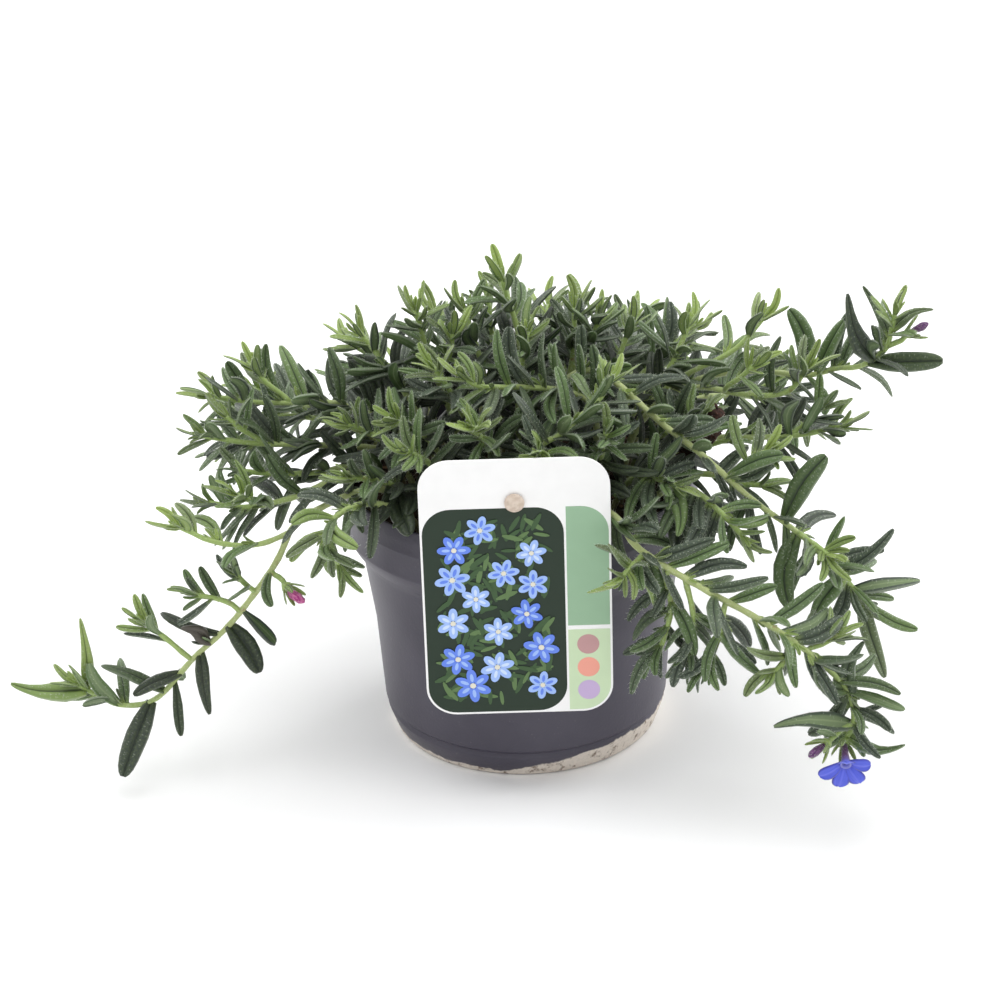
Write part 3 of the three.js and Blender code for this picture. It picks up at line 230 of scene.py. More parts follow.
# Forms of placed leaves: width as a multiple, how far the outline tapers, how the tip bends and sways
leafForms = {"broad": {"broad": 1.4, "taper": 0.25},
             "wide": {"broad": 1.85, "taper": 0.3, "curl": 0.2, "twist": -0.2},
             "slim": {"broad": 0.85, "taper": 0.8, "sway": 0.05},
             "pale": {"broad": 1.35, "taper": 0.35, "flipped": True},
             "drawn": {"broad": 1.35, "taper": 1.0, "curl": -0.7, "twist": 0.2},
             "upturned": {"broad": 1.35, "taper": 0.9, "curl": -1.3, "twist": 0.3},
             "hooked": {"broad": 1.35, "taper": 1.0, "curl": 0.2, "sway": -0.16, "twist": 0.2},
             "dry": {"broad": 2.1, "taper": 0.2, "curl": 1.4, "twist": 2.2, "dry": 1.0}}


# Camera, lights and floor

# The camera stands at a distance in mm from its aim, and looks along aside: right, up and forward
view = {"aim": (0, 0, 47), "distance": 1000, "elevation": 27.84, "lens": 104.2, "sensor": 36,
        "aside": (-20.5, 88.6, 2894.5), "roll": -1.71}


def setCamera():
    tilt = math.radians(view["elevation"])
    forward = Vector((0, math.cos(tilt), -math.sin(tilt)))
    right = Vector((1, 0, 0))
    above = right.cross(forward)
    aside = view["aside"]
    look = (right * aside[0] + above * aside[1] + forward * aside[2]).normalized()
    roll = math.radians(view["roll"])
    level = right * math.cos(roll) + above * math.sin(roll)
    across = (level - look * level.dot(look)).normalized()
    camera = bpy.data.objects.new("camera", bpy.data.cameras.new("camera"))
    bpy.context.collection.objects.link(camera)
    turn = Matrix((across, (-look).cross(across), -look)).transposed().to_4x4()
    place = (Vector(view["aim"]) - forward * view["distance"]) * mm
    camera.matrix_world = Matrix.Translation(place) @ turn
    camera.data.lens = view["lens"]
    camera.data.sensor_width = view["sensor"]
    camera.data.clip_end = 20
    bpy.context.scene.camera = camera


# The lamps: place and size in metres, and energy
studio = {"sky": 0.72, "lampAim": (0, 0, 0.08), "floorSize": 40, "floorDepth": 0.0004,
          "floor": (0.95, 0.95, 0.955),
          "lamps": {"lightTop": ((0, 0.1, 1.5), 1.4, 12.6),
                    "lightLeft": ((-1.3, -0.5, 0.9), 1.0, 2.6),
                    "lightRight": ((1.3, -0.5, 0.9), 1.0, 4.5),
                    "lightBackLeft": ((-1.2, 1.1, 0.7), 1.2, 14.0),
                    "lightBackRight": ((1.3, 0.9, 0.6), 1.0, 15.0)}}


def addLight(name, place, size, energy):
    lamp = bpy.data.lights.new(name, "AREA")
    lamp.size = size
    lamp.energy = energy
    holder = bpy.data.objects.new(name, lamp)
    bpy.context.collection.objects.link(holder)
    holder.location = place
    heading = Vector(studio["lampAim"]) - Vector(place)
    holder.rotation_euler = heading.to_track_quat("-Z", "Y").to_euler()


def setLights():
    for name, (place, size, energy) in studio["lamps"].items():
        addLight(name, place, size, energy)
    world = bpy.context.scene.world or bpy.data.worlds.new("studio")
    bpy.context.scene.world = world
    world.use_nodes = True
    background = world.node_tree.nodes["Background"]
    background.inputs["Color"].default_value = (1, 1, 1, 1)
    background.inputs["Strength"].default_value = studio["sky"]
    bpy.context.scene.view_settings.view_transform = "Standard"


def makeFloor():
    bpy.ops.mesh.primitive_plane_add(size=studio["floorSize"], location=(0, 0, -studio["floorDepth"]))
    floor = bpy.context.object
    floor.name = "floor"
    bpy.ops.object.transform_apply(location=True)
    floor.data.materials.append(newFinish("floorWhite", color=studio["floor"], roughness=0.7).material)
    bpy.ops.object.select_all(action="DESELECT")


# Finishes

sockets = {"color": "Base Color", "roughness": "Roughness", "specular": "Specular IOR Level",
           "sheen": "Sheen Weight", "sheenRoughness": "Sheen Roughness", "subsurface": "Subsurface Weight"}


class newFinish:
    # a material with one Principled shader, and short calls for the nodes in front of it

    def __init__(self, name, **values):
        self.material = bpy.data.materials.new(name)
        self.material.use_nodes = True
        self.tree = self.material.node_tree
        self.shader = self.tree.nodes["Principled BSDF"]
        self.values(**values)

    def values(self, **values):
        for name, value in values.items():
            self.feed(self.shader.inputs[sockets[name]], value)

    def feed(self, socket, value):
        if isinstance(value, bpy.types.NodeSocket):
            self.tree.links.new(value, socket)
        elif isinstance(value, tuple) and len(value) == 3 and socket.type == "RGBA":
            socket.default_value = (*value, 1)
        else:
            socket.default_value = value

    def node(self, kind, inputs, **settings):
        made = self.tree.nodes.new(kind)
        for name, value in settings.items():
            setattr(made, name, value)
        for socket, value in inputs.items():
            self.feed(made.inputs[socket], value)
        return made

    def attribute(self, name):
        found = self.node("ShaderNodeAttribute", {}, attribute_name=name)
        split = self.node("ShaderNodeSeparateXYZ", {0: found.outputs["Vector"]})
        return [found.outputs["Vector"], *split.outputs]

    def position(self):
        return self.node("ShaderNodeTexCoord", {}).outputs["Object"]

    def axes(self, vector):
        return self.node("ShaderNodeSeparateXYZ", {0: vector}).outputs

    def stretched(self, vector, scale):
        return self.node("ShaderNodeMapping", {"Vector": vector, "Scale": scale}).outputs[0]

    def noise(self, vector, scale, detail=2.0, roughness=0.5):
        settings = {"Vector": vector, "Scale": scale, "Detail": detail, "Roughness": roughness}
        return self.node("ShaderNodeTexNoise", settings).outputs[0]

    def cells(self, vector, scale):
        return self.node("ShaderNodeTexVoronoi", {"Vector": vector, "Scale": scale}).outputs["Distance"]

    def math(self, operation, first, second=0.0):
        return self.node("ShaderNodeMath", {0: first, 1: second}, operation=operation).outputs[0]

    def range(self, value, low, high, start=0.0, end=1.0):
        inputs = {"Value": value, "From Min": low, "From Max": high, "To Min": start, "To Max": end}
        return self.node("ShaderNodeMapRange", inputs, interpolation_type="SMOOTHSTEP").outputs[0]

    def mix(self, factor, first, second):
        inputs = {0: factor, 6: first, 7: second}
        return self.node("ShaderNodeMix", inputs, data_type="RGBA").outputs[2]

    def bump(self, height, strength, distance):
        inputs = {"Height": height, "Strength": strength, "Distance": distance}
        self.feed(self.shader.inputs["Normal"], self.node("ShaderNodeBump", inputs).outputs[0])


# The leaves: sizes and growth in mm and degrees, then their colours
leaf = {"young": 11, "grown": 20, "slimness": 0.2, "firstGap": 1.3, "gapGrowth": 1.1, "widestGap": 10,
        "grownAt": 16, "firstSpread": 12, "spreadGrowth": 15, "widestSpread": 66, "arch": 0.03,
        "droop": 0.13,
        "look": {"young": (0.34, 0.46, 0.112), "grown": (0.104, 0.174, 0.059),
                 # old is painted shade, the colour of a leaf deep under other leaves
                 "cold": (0.054, 0.076, 0.056), "old": (0.015, 0.025, 0.015), "under": (0.18, 0.25, 0.12),
                 # the dark colour for the groove along the upper side is painted shade
                 "ridge": (0.29, 0.37, 0.19), "midrib": (0.010, 0.020, 0.010),
                 "frost": (0.42, 0.47, 0.37), "dry": (0.075, 0.066, 0.052)}}


def makeLeafFinish():
    # leafPlace: across -1 to 1, distance along in mm, 1 on the underside
    # leafTone: age 0 to 1, and on to 2 as painted shade for a leaf deep under others, a chance number of
    # the leaf, 1 where it is dry
    look = leaf["look"]
    finish = newFinish("leafGreen", roughness=0.42, specular=0.5, sheen=0.05, sheenRoughness=0.4)
    place, across, along, under = finish.attribute("leafPlace")
    _, age, chance, dry = finish.attribute("leafTone")
    grown = finish.mix(finish.range(chance, 0.25, 0.75), look["grown"], look["cold"])
    green = finish.mix(finish.range(age, 0.0, 0.95), look["young"], grown)
    # painted shade: a leaf deep under others, age past 1, darkens to the old colour
    green = finish.mix(finish.range(age, 1.0, 2.0), green, look["old"])
    mottle = finish.noise(finish.stretched(place, (2.5, 0.7, 1.0)), 1.6, 3.0)
    green = finish.mix(finish.range(mottle, 0.35, 0.75, 0.0, 0.10), green, look["young"])
    base = finish.range(along, 0.0, 4.0, 0.7, 0.0)
    # painted shade also fades the young colour at the base of a leaf deep under others
    base = finish.math("MULTIPLY", base, finish.range(age, 1.0, 1.6, 1.0, 0.1))
    green = finish.mix(base, green, look["young"])
    aside = finish.math("ABSOLUTE", across)
    # the pale underside with its midrib, between the rolled edges
    below = finish.mix(finish.range(age, 0.0, 0.8), look["young"], look["under"])
    # painted shade darkens the underside of a leaf deep under others
    below = finish.mix(finish.range(age, 1.1, 2.0), below, look["grown"])
    below = finish.mix(finish.range(aside, 0.05, 0.14, 0.55, 0.0), below, look["ridge"])
    below = finish.mix(finish.range(aside, 0.5, 0.68), below, grown)
    green = finish.mix(under, green, below)
    # painted shade in the groove along the middle of the upper side, fainter on young leaves
    groove = finish.range(aside, 0.02, 0.16, 0.8, 0.0)
    groove = finish.math("MULTIPLY", groove, finish.range(age, 0.0, 0.6, 0.25, 1.0))
    groove = finish.math("MULTIPLY", groove, finish.math("SUBTRACT", 1.0, under))
    green = finish.mix(groove, green, look["midrib"])
    # pale dots at the feet of the hairs, and a pale edge
    strokes = finish.noise(finish.stretched(place, (7.0, 1.1, 1.0)), 3.2, 2.0, 0.6)
    dots = finish.range(finish.cells(finish.stretched(place, (2.1, 1.0, 1.0)), 1.25), 0.14, 0.36, 0.6, 0.0)
    rows = finish.math("MULTIPLY", finish.range(aside, 0.15, 0.5), finish.range(aside, 0.6, 0.9, 1.0, 0.45))
    edge = finish.range(aside, 0.88, 1.0, 0.0, 0.5)
    frost = finish.math("MAXIMUM", finish.math("MULTIPLY", dots, rows), edge)
    # painted shade dims the pale dots and edge on a leaf deep under others
    frost = finish.math("MULTIPLY", frost, finish.range(age, 1.0, 2.0, 1.0, 0.2))
    green = finish.mix(frost, green, look["frost"])
    green = finish.mix(dry, green, look["dry"])
    finish.values(color=green)
    finish.bump(strokes, 0.5, 0.00025)
    return finish.material


# The stems: sizes in mm, the points held in the soil, leaves on what grows aside, then the colours
stem = {"radius": 1.2, "tipRadius": 0.8, "shootRadius": 0.9, "step": 3, "stepsToBend": 3, "held": 5,
        "shootLeaves": 4, "budLeaves": 2, "witheredLeaves": 1, "sides": 8,
        "look": {"young": (0.29, 0.41, 0.11), "grown": (0.41, 0.48, 0.19), "woody": (0.15, 0.12, 0.06),
                 "patch": (0.22, 0.12, 0.05), "streak": (0.62, 0.68, 0.45)}}


def makeStemFinish():
    # leafTone: age 0 to 1 from the tip down, and 1 where the stem is woody
    look = stem["look"]
    finish = newFinish("stemGreen", roughness=0.55, sheen=0.3, sheenRoughness=0.5)
    _, age, _, woody = finish.attribute("leafTone")
    green = finish.mix(finish.range(age, 0.0, 0.7), look["young"], look["grown"])
    green = finish.mix(woody, green, look["woody"])
    patches = finish.noise(finish.position(), 230.0, 3.0, 0.6)
    green = finish.mix(finish.range(patches, 0.62, 0.74, 0.0, 0.6), green, look["patch"])
    streaks = finish.noise(finish.position(), 1500.0, 2.0)
    green = finish.mix(finish.range(streaks, 0.5, 0.75, 0.0, 0.4), green, look["streak"])
    finish.values(color=green)
    finish.bump(streaks, 0.5, 0.0002)
    return finish.material


# The hairs: sizes in mm, how many a leaf has at its edge, on its ridges and below, and how far apart
# they stand on a stem. A leaf whose age is past bareFrom lies deep under others and needs none.
hair = {"radius": 0.06, "edge": 12, "ridge": 20, "below": 4, "smallEdge": 4, "smallRidge": 5, "length": 1.0,
        "stemEvery": 0.5, "stemLength": 1.05, "bareFrom": 1.55,
        "look": {"grey": (0.66, 0.74, 0.60), "white": (0.80, 0.84, 0.74)}}


def makeHairFinish():
    finish = newFinish("hairWhite", roughness=0.5, specular=0.5)
    tint = finish.noise(finish.position(), 300.0, 1.0)
    finish.values(color=finish.mix(tint, hair["look"]["grey"], hair["look"]["white"]))
    return finish.material


# Growth: the same rule as the solids

# How far apart stems, leaves and blooms stay, in mm, and how stems are pushed apart and over the rim
spacing = {"stems": 4.4, "rounds": 60, "push": 0.35, "leaves": 2.35, "leafToStem": 2.9, "ownLeaves": 1.5,
           "ownStem": 1.7, "bloom": 2.8, "hard": 1.5, "rimInside": 5, "rimOutside": 4, "rimDepth": 8,
           "aboveRim": 1.2, "places": 200000}


def unit(vector):
    return vector / np.linalg.norm(vector)


def unitRows(rows):
    return rows / np.linalg.norm(rows, axis=-1, keepdims=True)


def seededRow(seed):
    # a plain row of chance numbers, the same one as the solids have
    state = seed
    while True:
        state = (state * 1664525 + 1013904223) % 4294967296
        yield state / 4294967296


def smoothRoute(points, step):
    # a smooth curve through the points, cut into equal steps
    samples = 12
    points = [np.array(p, float) for p in points]
    ends = [2 * points[0] - points[1], *points, 2 * points[-1] - points[-2]]
    fine = [points[0]]
    for i in range(1, len(ends) - 2):
        for k in range(1, samples + 1):
            t = k / samples
            weights = (-0.5 * t + t * t - 0.5 * t ** 3, 1 - 2.5 * t * t + 1.5 * t ** 3,
                       0.5 * t + 2 * t * t - 1.5 * t ** 3, -0.5 * t * t + 0.5 * t ** 3)
            fine.append(sum(w * p for w, p in zip(weights, ends[i - 1:i + 3])))
    fine = np.array(fine)
    reach = np.concatenate([[0], np.cumsum(np.linalg.norm(np.diff(fine, axis=0), axis=1))])
    count = max(2, int(reach[-1] / step + 0.5))
    goals = reach[-1] * np.arange(count + 1) / count
    return np.stack([np.interp(goals, reach, fine[:, i]) for i in range(3)], axis=1)


def footOf(hole):
    return [(*hole, soil["top"] - soil["holeDepth"] + gap), (*hole, soil["top"] + 1.5)]


def nearestIndex(points, target):
    return int(np.argmin(np.linalg.norm(points - target, axis=1)))


def makeChain(node, route, leaves, radius, tip=None, parent=None):
    points = smoothRoute(route, stem["step"])
    chain = {"node": node, "points": points, "leaves": leaves, "radius": radius, "tip": tip,
             "parent": parent, "held": 1 if parent else stem["held"]}
    if parent:
        chain["root"] = nearestIndex(parent["points"], points[0])
    return chain


def makeChains():
    # every stem and side shoot, and the twig last
    chains = []
    for node, plan in enumerate(leafyStems):
        main = makeChain(node, [*footOf(plan["hole"]), *plan["route"]], plan["leaves"], stem["radius"],
                         "flower" if "bloom" in plan else None)
        chains.append(main)
        shoots = [(route, stem["shootLeaves"], None) for route in plan.get("shoots", [])]
        for tip in ("bud", "withered"):
            if tip in plan:
                shoots.append((plan[tip], stem[f"{tip}Leaves"], tip))
        for route, leaves, tip in shoots:
            chains.append(makeChain(node, route, leaves, stem["shootRadius"], tip, main))
    chains.append(makeChain(len(leafyStems), [*footOf(twig["hole"]), *twig["route"]], 0, twig["radius"]))
    return chains


def settle(chains):
    # stems that come too close are pushed apart until they pass each other
    counts = [len(chain["points"]) for chain in chains]
    starts = np.concatenate([[0], np.cumsum(counts)])
    points = np.concatenate([chain["points"] for chain in chains])
    spread = {key: np.repeat([chain[key] for chain in chains], counts) for key in ("node", "held", "radius")}
    index = np.concatenate([np.arange(count) for count in counts])
    last = np.repeat(np.array(counts) - 1, counts)
    here = np.arange(len(points))
    before = here - (index > 0)
    after = here + (index < last)
    free = index >= spread["held"]
    apartNodes = np.triu(spread["node"][:, None] != spread["node"][None, :], 1)
    low = pot["height"] + spread["radius"] + spacing["aboveRim"]
    for _ in range(spacing["rounds"]):
        near = apartNodes & (np.abs(points[:, None, 0] - points[None, :, 0]) <= spacing["stems"])
        near &= np.abs(points[:, None, 1] - points[None, :, 1]) <= spacing["stems"]
        first, second = np.nonzero(near)
        between = points[first] - points[second]
        apart = np.linalg.norm(between, axis=1)
        close = (apart < spacing["stems"]) & (apart > 1e-6)
        first, second, between, apart = first[close], second[close], between[close], apart[close]
        push = between * (spacing["push"] * (spacing["stems"] - apart) / apart)[:, None]
        shift = np.zeros_like(points)
        np.add.at(shift, first, push * free[first, None])
        np.add.at(shift, second, -push * free[second, None])
        smooth = 0.5 * shift + 0.25 * shift[before] + 0.25 * shift[after]
        points[free] += smooth[free]
        out = np.hypot(points[:, 0], points[:, 1])
        over = free & (out > pot["rim"] - spacing["rimInside"]) & (out < pot["rim"] + spacing["rimOutside"])
        over &= (points[:, 2] < low) & (points[:, 2] > pot["height"] - spacing["rimDepth"])
        points[over, 2] = low[over]
        for number, chain in enumerate(chains):
            if chain["parent"]:
                parent = next(i for i, other in enumerate(chains) if other is chain["parent"])
                points[starts[number]] = points[starts[parent] + chain["root"]]
    for number, chain in enumerate(chains):
        chain["points"] = points[starts[number]:starts[number + 1]].copy()
        chain["curve"] = smoothRoute(chain["points"], 2.0)


def straighten(chain):
    # the solids run straight between bends, and leaves stand on those straight pieces
    points, steps = chain["points"], stem["stepsToBend"]
    if chain["parent"]:
        parent = chain["parent"]["points"]
        points[0] = parent[nearestIndex(parent, points[0])]
    last = len(points) - 1
    pieces = max(1, int(last / steps + 0.5))
    bends = [points[int(i * last / pieces + 0.5)] for i in range(pieces + 1)]
    straight = [bends[0]]
    for start, end in zip(bends, bends[1:]):
        straight += [start + (end - start) * k / steps for k in range(1, steps + 1)]
    chain["points"] = np.array(straight)
    chain["reach"] = sum(np.linalg.norm(end - start) for start, end in zip(bends, bends[1:]))
    chain["step"] = chain["reach"] / (len(straight) - 1)


class Crowd:
    # places already taken: 0 a stem, 1 a leaf, 2 a bloom

    def __init__(self):
        self.points = np.zeros((spacing["places"], 3))
        self.node = np.zeros(spacing["places"], int)
        self.kind = np.zeros(spacing["places"], int)
        self.count = 0

    def add(self, points, node, kind):
        points = np.atleast_2d(points)
        end = self.count + len(points)
        self.points[self.count:end] = points
        self.node[self.count:end] = node
        self.kind[self.count:end] = kind
        self.count = end

    def around(self, place, reach):
        near = np.all(np.abs(self.points[:self.count] - place) < reach, axis=1)
        return self.points[:self.count][near], self.node[:self.count][near], self.kind[:self.count][near]


def makeBlade(base, direction, normal, length, bend):
    # a leaf as a plan: where it starts, its three directions, and its size
    along = unit(direction)
    face = unit(normal - along * np.dot(normal, along))
    return {"base": base.copy(), "along": along, "face": face, "side": np.cross(along, face),
            "length": length, "width": leaf["slimness"] * length + 0.4, "bend": bend}


def leafSpread(u):
    # share of a leaf's width at a share u of its length
    past = np.maximum(0, (u - 0.6) / 0.4)
    return np.minimum(1, 0.35 + 1.3 * u) * np.sqrt(np.maximum(0, 1 - past ** 3))


def leafSamples(blade):
    # points along a leaf every 1.8 mm, at its middle and near both edges
    steps = math.ceil(blade["length"] / 1.8)
    u = np.repeat(np.arange(1, steps + 1) / steps, 3)
    half = 0.42 * blade["width"] * leafSpread(np.minimum(u, 0.94)) * np.tile([-1, 0, 1], steps)
    middle = blade["base"] + blade["along"] * blade["length"] * u[:, None]
    middle = middle + blade["face"] * (blade["bend"] * blade["length"] * u * u)[:, None]
    return u, middle + blade["side"] * half[:, None]


def clearOfHard(points):
    # whether the points stay clear of the ground, the pot, the label and its peg
    margin = spacing["hard"]
    x, y, z = points.T
    out = np.hypot(x, y)
    outer = pot["outer"][1:]
    radius = np.interp(z, [p[1] for p in outer], [p[0] for p in outer])
    inside = (out < pot["rim"] - pot["wall"] - margin) & (z > soil["top"] + soil["crown"] + margin)
    bad = (z < margin) | ((z < pot["height"] + margin) & ~inside & (out < radius + margin))
    labelY = -(pot["rim"] + gap + label["thickness"] / 2)
    aside = np.abs(x - label["centreX"])
    bad |= ((aside < label["width"] / 2 + margin) & (z > label["bottom"] - margin)
            & (z < label["top"] + margin) & (np.abs(y - labelY) < margin + 0.4))
    pegFront = -(pot["rim"] + 2 * gap + label["thickness"] + peg["headThickness"])
    bad |= ((aside < peg["head"] + margin) & (np.abs(z - peg["z"]) < peg["head"] + margin)
            & (y > pegFront - margin) & (y < pegBladeY() + 2 * margin))
    bad |= ((aside < peg["bladeWidth"] / 2 + margin) & (z < peg["z"] + margin)
            & (np.abs(y - pegBladeY()) < peg["bladeThickness"] / 2 + 2 * margin))
    return not bad.any()


def pegBladeY():
    return -(pot["rim"] - pot["wall"] - peg["behindWall"] - peg["bladeThickness"] / 2)


def isClear(u, points, node, near, ease=1.0):
    # whether a leaf keeps its distance from everything near; its foot may touch its own stem
    if not clearOfHard(points[u > 0.2]):
        return False
    others, owner, kind = near
    if not len(others):
        return True
    own = owner == node
    limit = np.where(own, np.where(kind == 1, spacing["ownLeaves"], spacing["ownStem"]),
                     np.where(kind == 1, spacing["leaves"], spacing["leafToStem"])) * ease
    limit[kind == 2] = spacing["bloom"]
    apart = np.linalg.norm(points[:, None] - others[None], axis=2)
    close = apart <= limit
    close &= ~((own & (kind != 2))[None, :] & (u < 0.4)[:, None])
    return not close.any()


def pointAlong(chain, fromTip):
    place = max(0, len(chain["points"]) - 1 - max(fromTip, 0.9) / chain["step"])
    low = min(int(place), len(chain["points"]) - 2)
    return chain["points"][low] + (chain["points"][low + 1] - chain["points"][low]) * (place - low)


def tangentAlong(chain, fromTip):
    return unit(pointAlong(chain, max(0, fromTip - 1.5)) - pointAlong(chain, fromTip + 1.5))


def frameAround(axis):
    upright = up - axis * axis[2]
    if np.linalg.norm(upright) < 0.1:
        upright = np.array([1.0, 0, 0]) - axis * axis[0]
    upright = unit(upright)
    return upright, np.cross(axis, upright)


def outward(upright, sideways, turn):
    return upright * math.cos(turn) + sideways * math.sin(turn)


def spreadFrom(axis, out, spread):
    return axis * math.cos(spread) + out * math.sin(spread)


def leafFace(axis, level):
    # the upper side of a leaf looks along an upright stem, and up from a level one
    return axis * (1 - 0.5 * level) + up * (0.9 * level + 0.05)


# Twist and tilt in degrees that a leaf takes, in turn, until it touches nothing
tries = [(0, 0), (28, 4), (-28, 4), (56, 10), (-56, 10), (86, -6), (-86, -6), (0, -16), (40, -18), (-40, -18),
         (120, 8), (-120, 8), (160, 0), (90, 18), (-90, 18), (180, -14)]


def growLeaf(chain, rank, fromTip, crowd, row):
    # leaves spread more with every rank from the tip down, and grown ones droop
    base = pointAlong(chain, fromTip)
    axis = tangentAlong(chain, fromTip)
    grown = min(1, fromTip / leaf["grownAt"])
    draw = [next(row), next(row), next(row)]
    length = (leaf["young"] + (leaf["grown"] - leaf["young"]) * grown) * (0.9 + 0.24 * draw[0])
    level = 1 - abs(axis[2])
    upright, sideways = frameAround(axis)
    near = crowd.around(base, length + 5)
    for twist, tilt in tries:
        turn = chain["turn"] + rank * goldenAngle + math.radians(twist + 20 * (draw[1] - 0.5))
        widest = min(leaf["widestSpread"], leaf["firstSpread"] + leaf["spreadGrowth"] * rank)
        spread = math.radians(widest + tilt)
        direction = unit(axis * math.cos(spread) + upright * math.sin(spread) * math.cos(turn)
                         + sideways * math.sin(spread) * math.sin(turn) + up * 0.22 * level)
        bend = leaf["arch"] - leaf["droop"] * grown * (0.3 + draw[2])
        blade = makeBlade(base, direction, leafFace(axis, level), length, bend)
        u, points = leafSamples(blade)
        if isClear(u, points, chain["node"], near):
            crowd.add(points[u > 0.15], chain["node"], 1)
            blade.update(age=grown, fromTip=fromTip, axis=axis, chain=chain)
            return blade
    return None


def leafDistance(rank):
    return sum(min(leaf["widestGap"], leaf["firstGap"] + leaf["gapGrowth"] * k) for k in range(rank))


def findBlooms(chains):
    found = []
    for chain in chains:
        if not chain["tip"]:
            continue
        axis = tangentAlong(chain, 0)
        if chain["tip"] == "flower":
            axis = unit(np.array(leafyStems[chain["node"]]["bloom"], float))
        tip = chain["points"][-1] + axis * flower["cup"]
        found.append({"kind": chain["tip"], "tip": tip, "axis": axis, "node": chain["node"]})
    return found


def turned(direction, axis, angle):
    return (direction * math.cos(angle) + np.cross(axis, direction) * math.sin(angle)
            + axis * np.dot(axis, direction) * (1 - math.cos(angle)))


def sideOf(axis):
    return unit(np.array([1.0, 0, 0]) - axis * axis[0])


def growLeaves(chains, blooms):
    crowd = Crowd()
    row = seededRow(20)
    blades = [[] for _ in leafyStems]
    for chain in chains:
        chain["turn"] = next(row) * 2 * math.pi
        crowd.add(chain["points"], chain["node"], 0)
        crowd.add((chain["points"][1:] + chain["points"][:-1]) / 2, chain["node"], 0)
    for bloom in blooms:
        # the room that a bloom takes: its length, and two rings round the mouth of the flower
        axis = bloom["axis"]
        for i in range(7):
            crowd.add(bloom["tip"] + axis * i * 1.6, bloom["node"], 2)
        if bloom["kind"] != "flower":
            continue
        mouth = bloom["tip"] + axis * (flower["tube"] + gap + 1)
        for k in range(24):
            out = turned(sideOf(axis), axis, k / 12 * 2 * math.pi)
            crowd.add(mouth + out * (3.5 if k < 12 else 6.5), bloom["node"], 2)
    for node, plan in enumerate(leafyStems):
        chain = next(chain for chain in chains if chain["node"] == node)
        for start, end, *form in plan.get("placed", []):
            placeLeaf(chain, start, end, form, blades[node], crowd)
    for rank in range(max(plan["leaves"] for plan in leafyStems)):
        for chain in chains:
            if rank >= chain["leaves"]:
                continue
            fromTip = leafDistance(rank)
            if chain["reach"] - fromTip < (1.5 if chain["parent"] else soil["holeDepth"] + 9):
                continue
            blade = growLeaf(chain, rank, fromTip, crowd, row)
            if blade:
                blades[chain["node"]].append(blade)
    return blades, crowd


def placeLeaf(chain, start, end, form, own, crowd):
    index = min(nearestIndex(chain["points"], np.array(start)), len(chain["points"]) - 2)
    base = chain["points"][index]
    direction = np.array(end) - base
    blade = makeBlade(base, direction, np.array([0, -0.45, 0.9]), np.linalg.norm(direction), -0.06)
    fromTip = (len(chain["points"]) - 1 - index) * chain["step"]
    blade.update(age=0.95, fromTip=fromTip, chain=chain, axis=tangentAlong(chain, fromTip))
    blade.update(leafForms[form[0]] if form else {})
    crowd.add(leafSamples(blade)[1], chain["node"], 1)
    own.append(blade)


# Leaves that only the finer stems have: a few that drape over the rim, rosettes of young ones at the
# tips, fillers between the grown ones, and small tufts

# ease is how near a filler may come, as a share of the solids' spacing, and fillers stand stepLow to
# stepHigh apart. A leaf turns darker with its distance from the tip, over ripe, and with its cover, which
# is painted shade: the points of other leaves within coverAside of it and over coverAbove higher. A leaf in
# the open keeps a lighter colour, a painted light, capped between the two values of open and raised by
# cover over closed. sparse thins out fillers.
extra = {"ease": 0.62, "stepLow": 3.4, "stepHigh": 6.0, "attempts": 7, "tufts": 0.25, "tuftLeaves": 4,
         "tuftsFrom": 9, "rosette": 6, "seed": 11, "broad": 0.03, "broadBy": 1.35, "flipped": 0.04,
         "ripe": 25, "open": (0.28, 0.74), "closed": 150, "cover": 320, "coverAside": 9, "coverAbove": 7,
         "sparseTo": 130,
         "sparse": {"stem_long_left": 0.1, "stem_flowering": 0.6, "stem_arching_right": 0.55,
                    "stem_right_high": 0.3, "stem_right_raised": 0.3, "stem_right_level": 0.3,
                    "stem_right_out": 0.5, "stem_right_low": 0.3, "stem_right_back_rise": 0.4,
                    "stem_left_rise": 0.6, "stem_left_level": 0.6, "stem_left_low": 0.6,
                    "stem_left_high": 0.6}}

# Leaves over the rim, from base to tip and with a form where they have one
drapes = {"stem_front_left_short": [[(-38, -26, 98), (-37, -47, 104)],
                                    [(-42, -28, 101), (-46, -46, 101)],
                                    [(-40, -27, 99), (-36, -55, 99), "broad"],
                                    [(-44, -29, 102), (-49, -47, 99), "broad"],
                                    [(-38, -26, 98), (-41, -52, 98)]],
          "stem_front_right_rise": [[(24, -33, 104), (34, -50, 109)]],
          "stem_front_right_out": [[(36, -32, 101), (30, -52, 105), "drawn"],
                                   [(40, -34, 105), (38, -55, 97), "broad"],
                                   [(42, -36, 105), (34, -54, 99)],
                                   [(44, -38, 105), (44, -58, 100)],
                                   [(47, -41, 106), (50, -60, 94), "drawn"]],
          "stem_front_right_hang": [[(49, -37, 100), (50, -60, 91), "broad"],
                                    [(58, -44, 102), (58, -62, 89), "broad"],
                                    [(60, -47, 101), (52, -64, 92)],
                                    [(52, -39, 102), (40, -54, 104)]],
          "stem_flowering": [[(29, -50, 98), (36, -66, 98)],
                             [(31, -53, 99), (42, -64, 101)],
                             [(38, -62, 92), (44, -72, 75), "broad"],
                             [(39, -62, 91), (30, -72, 84)],
                             [(35, -68, 90), (42, -75, 80)],
                             [(47, -68, 82), (41, -78, 76)],
                             [(45, -68, 80), (33, -72, 72)],
                             [(44, -70, 70), (31, -75, 64)],
                             [(43, -72, 61), (33, -76, 48)],
                             [(54, -71, 70), (44, -78, 64)],
                             [(53, -72, 64), (46, -78, 50)]]}


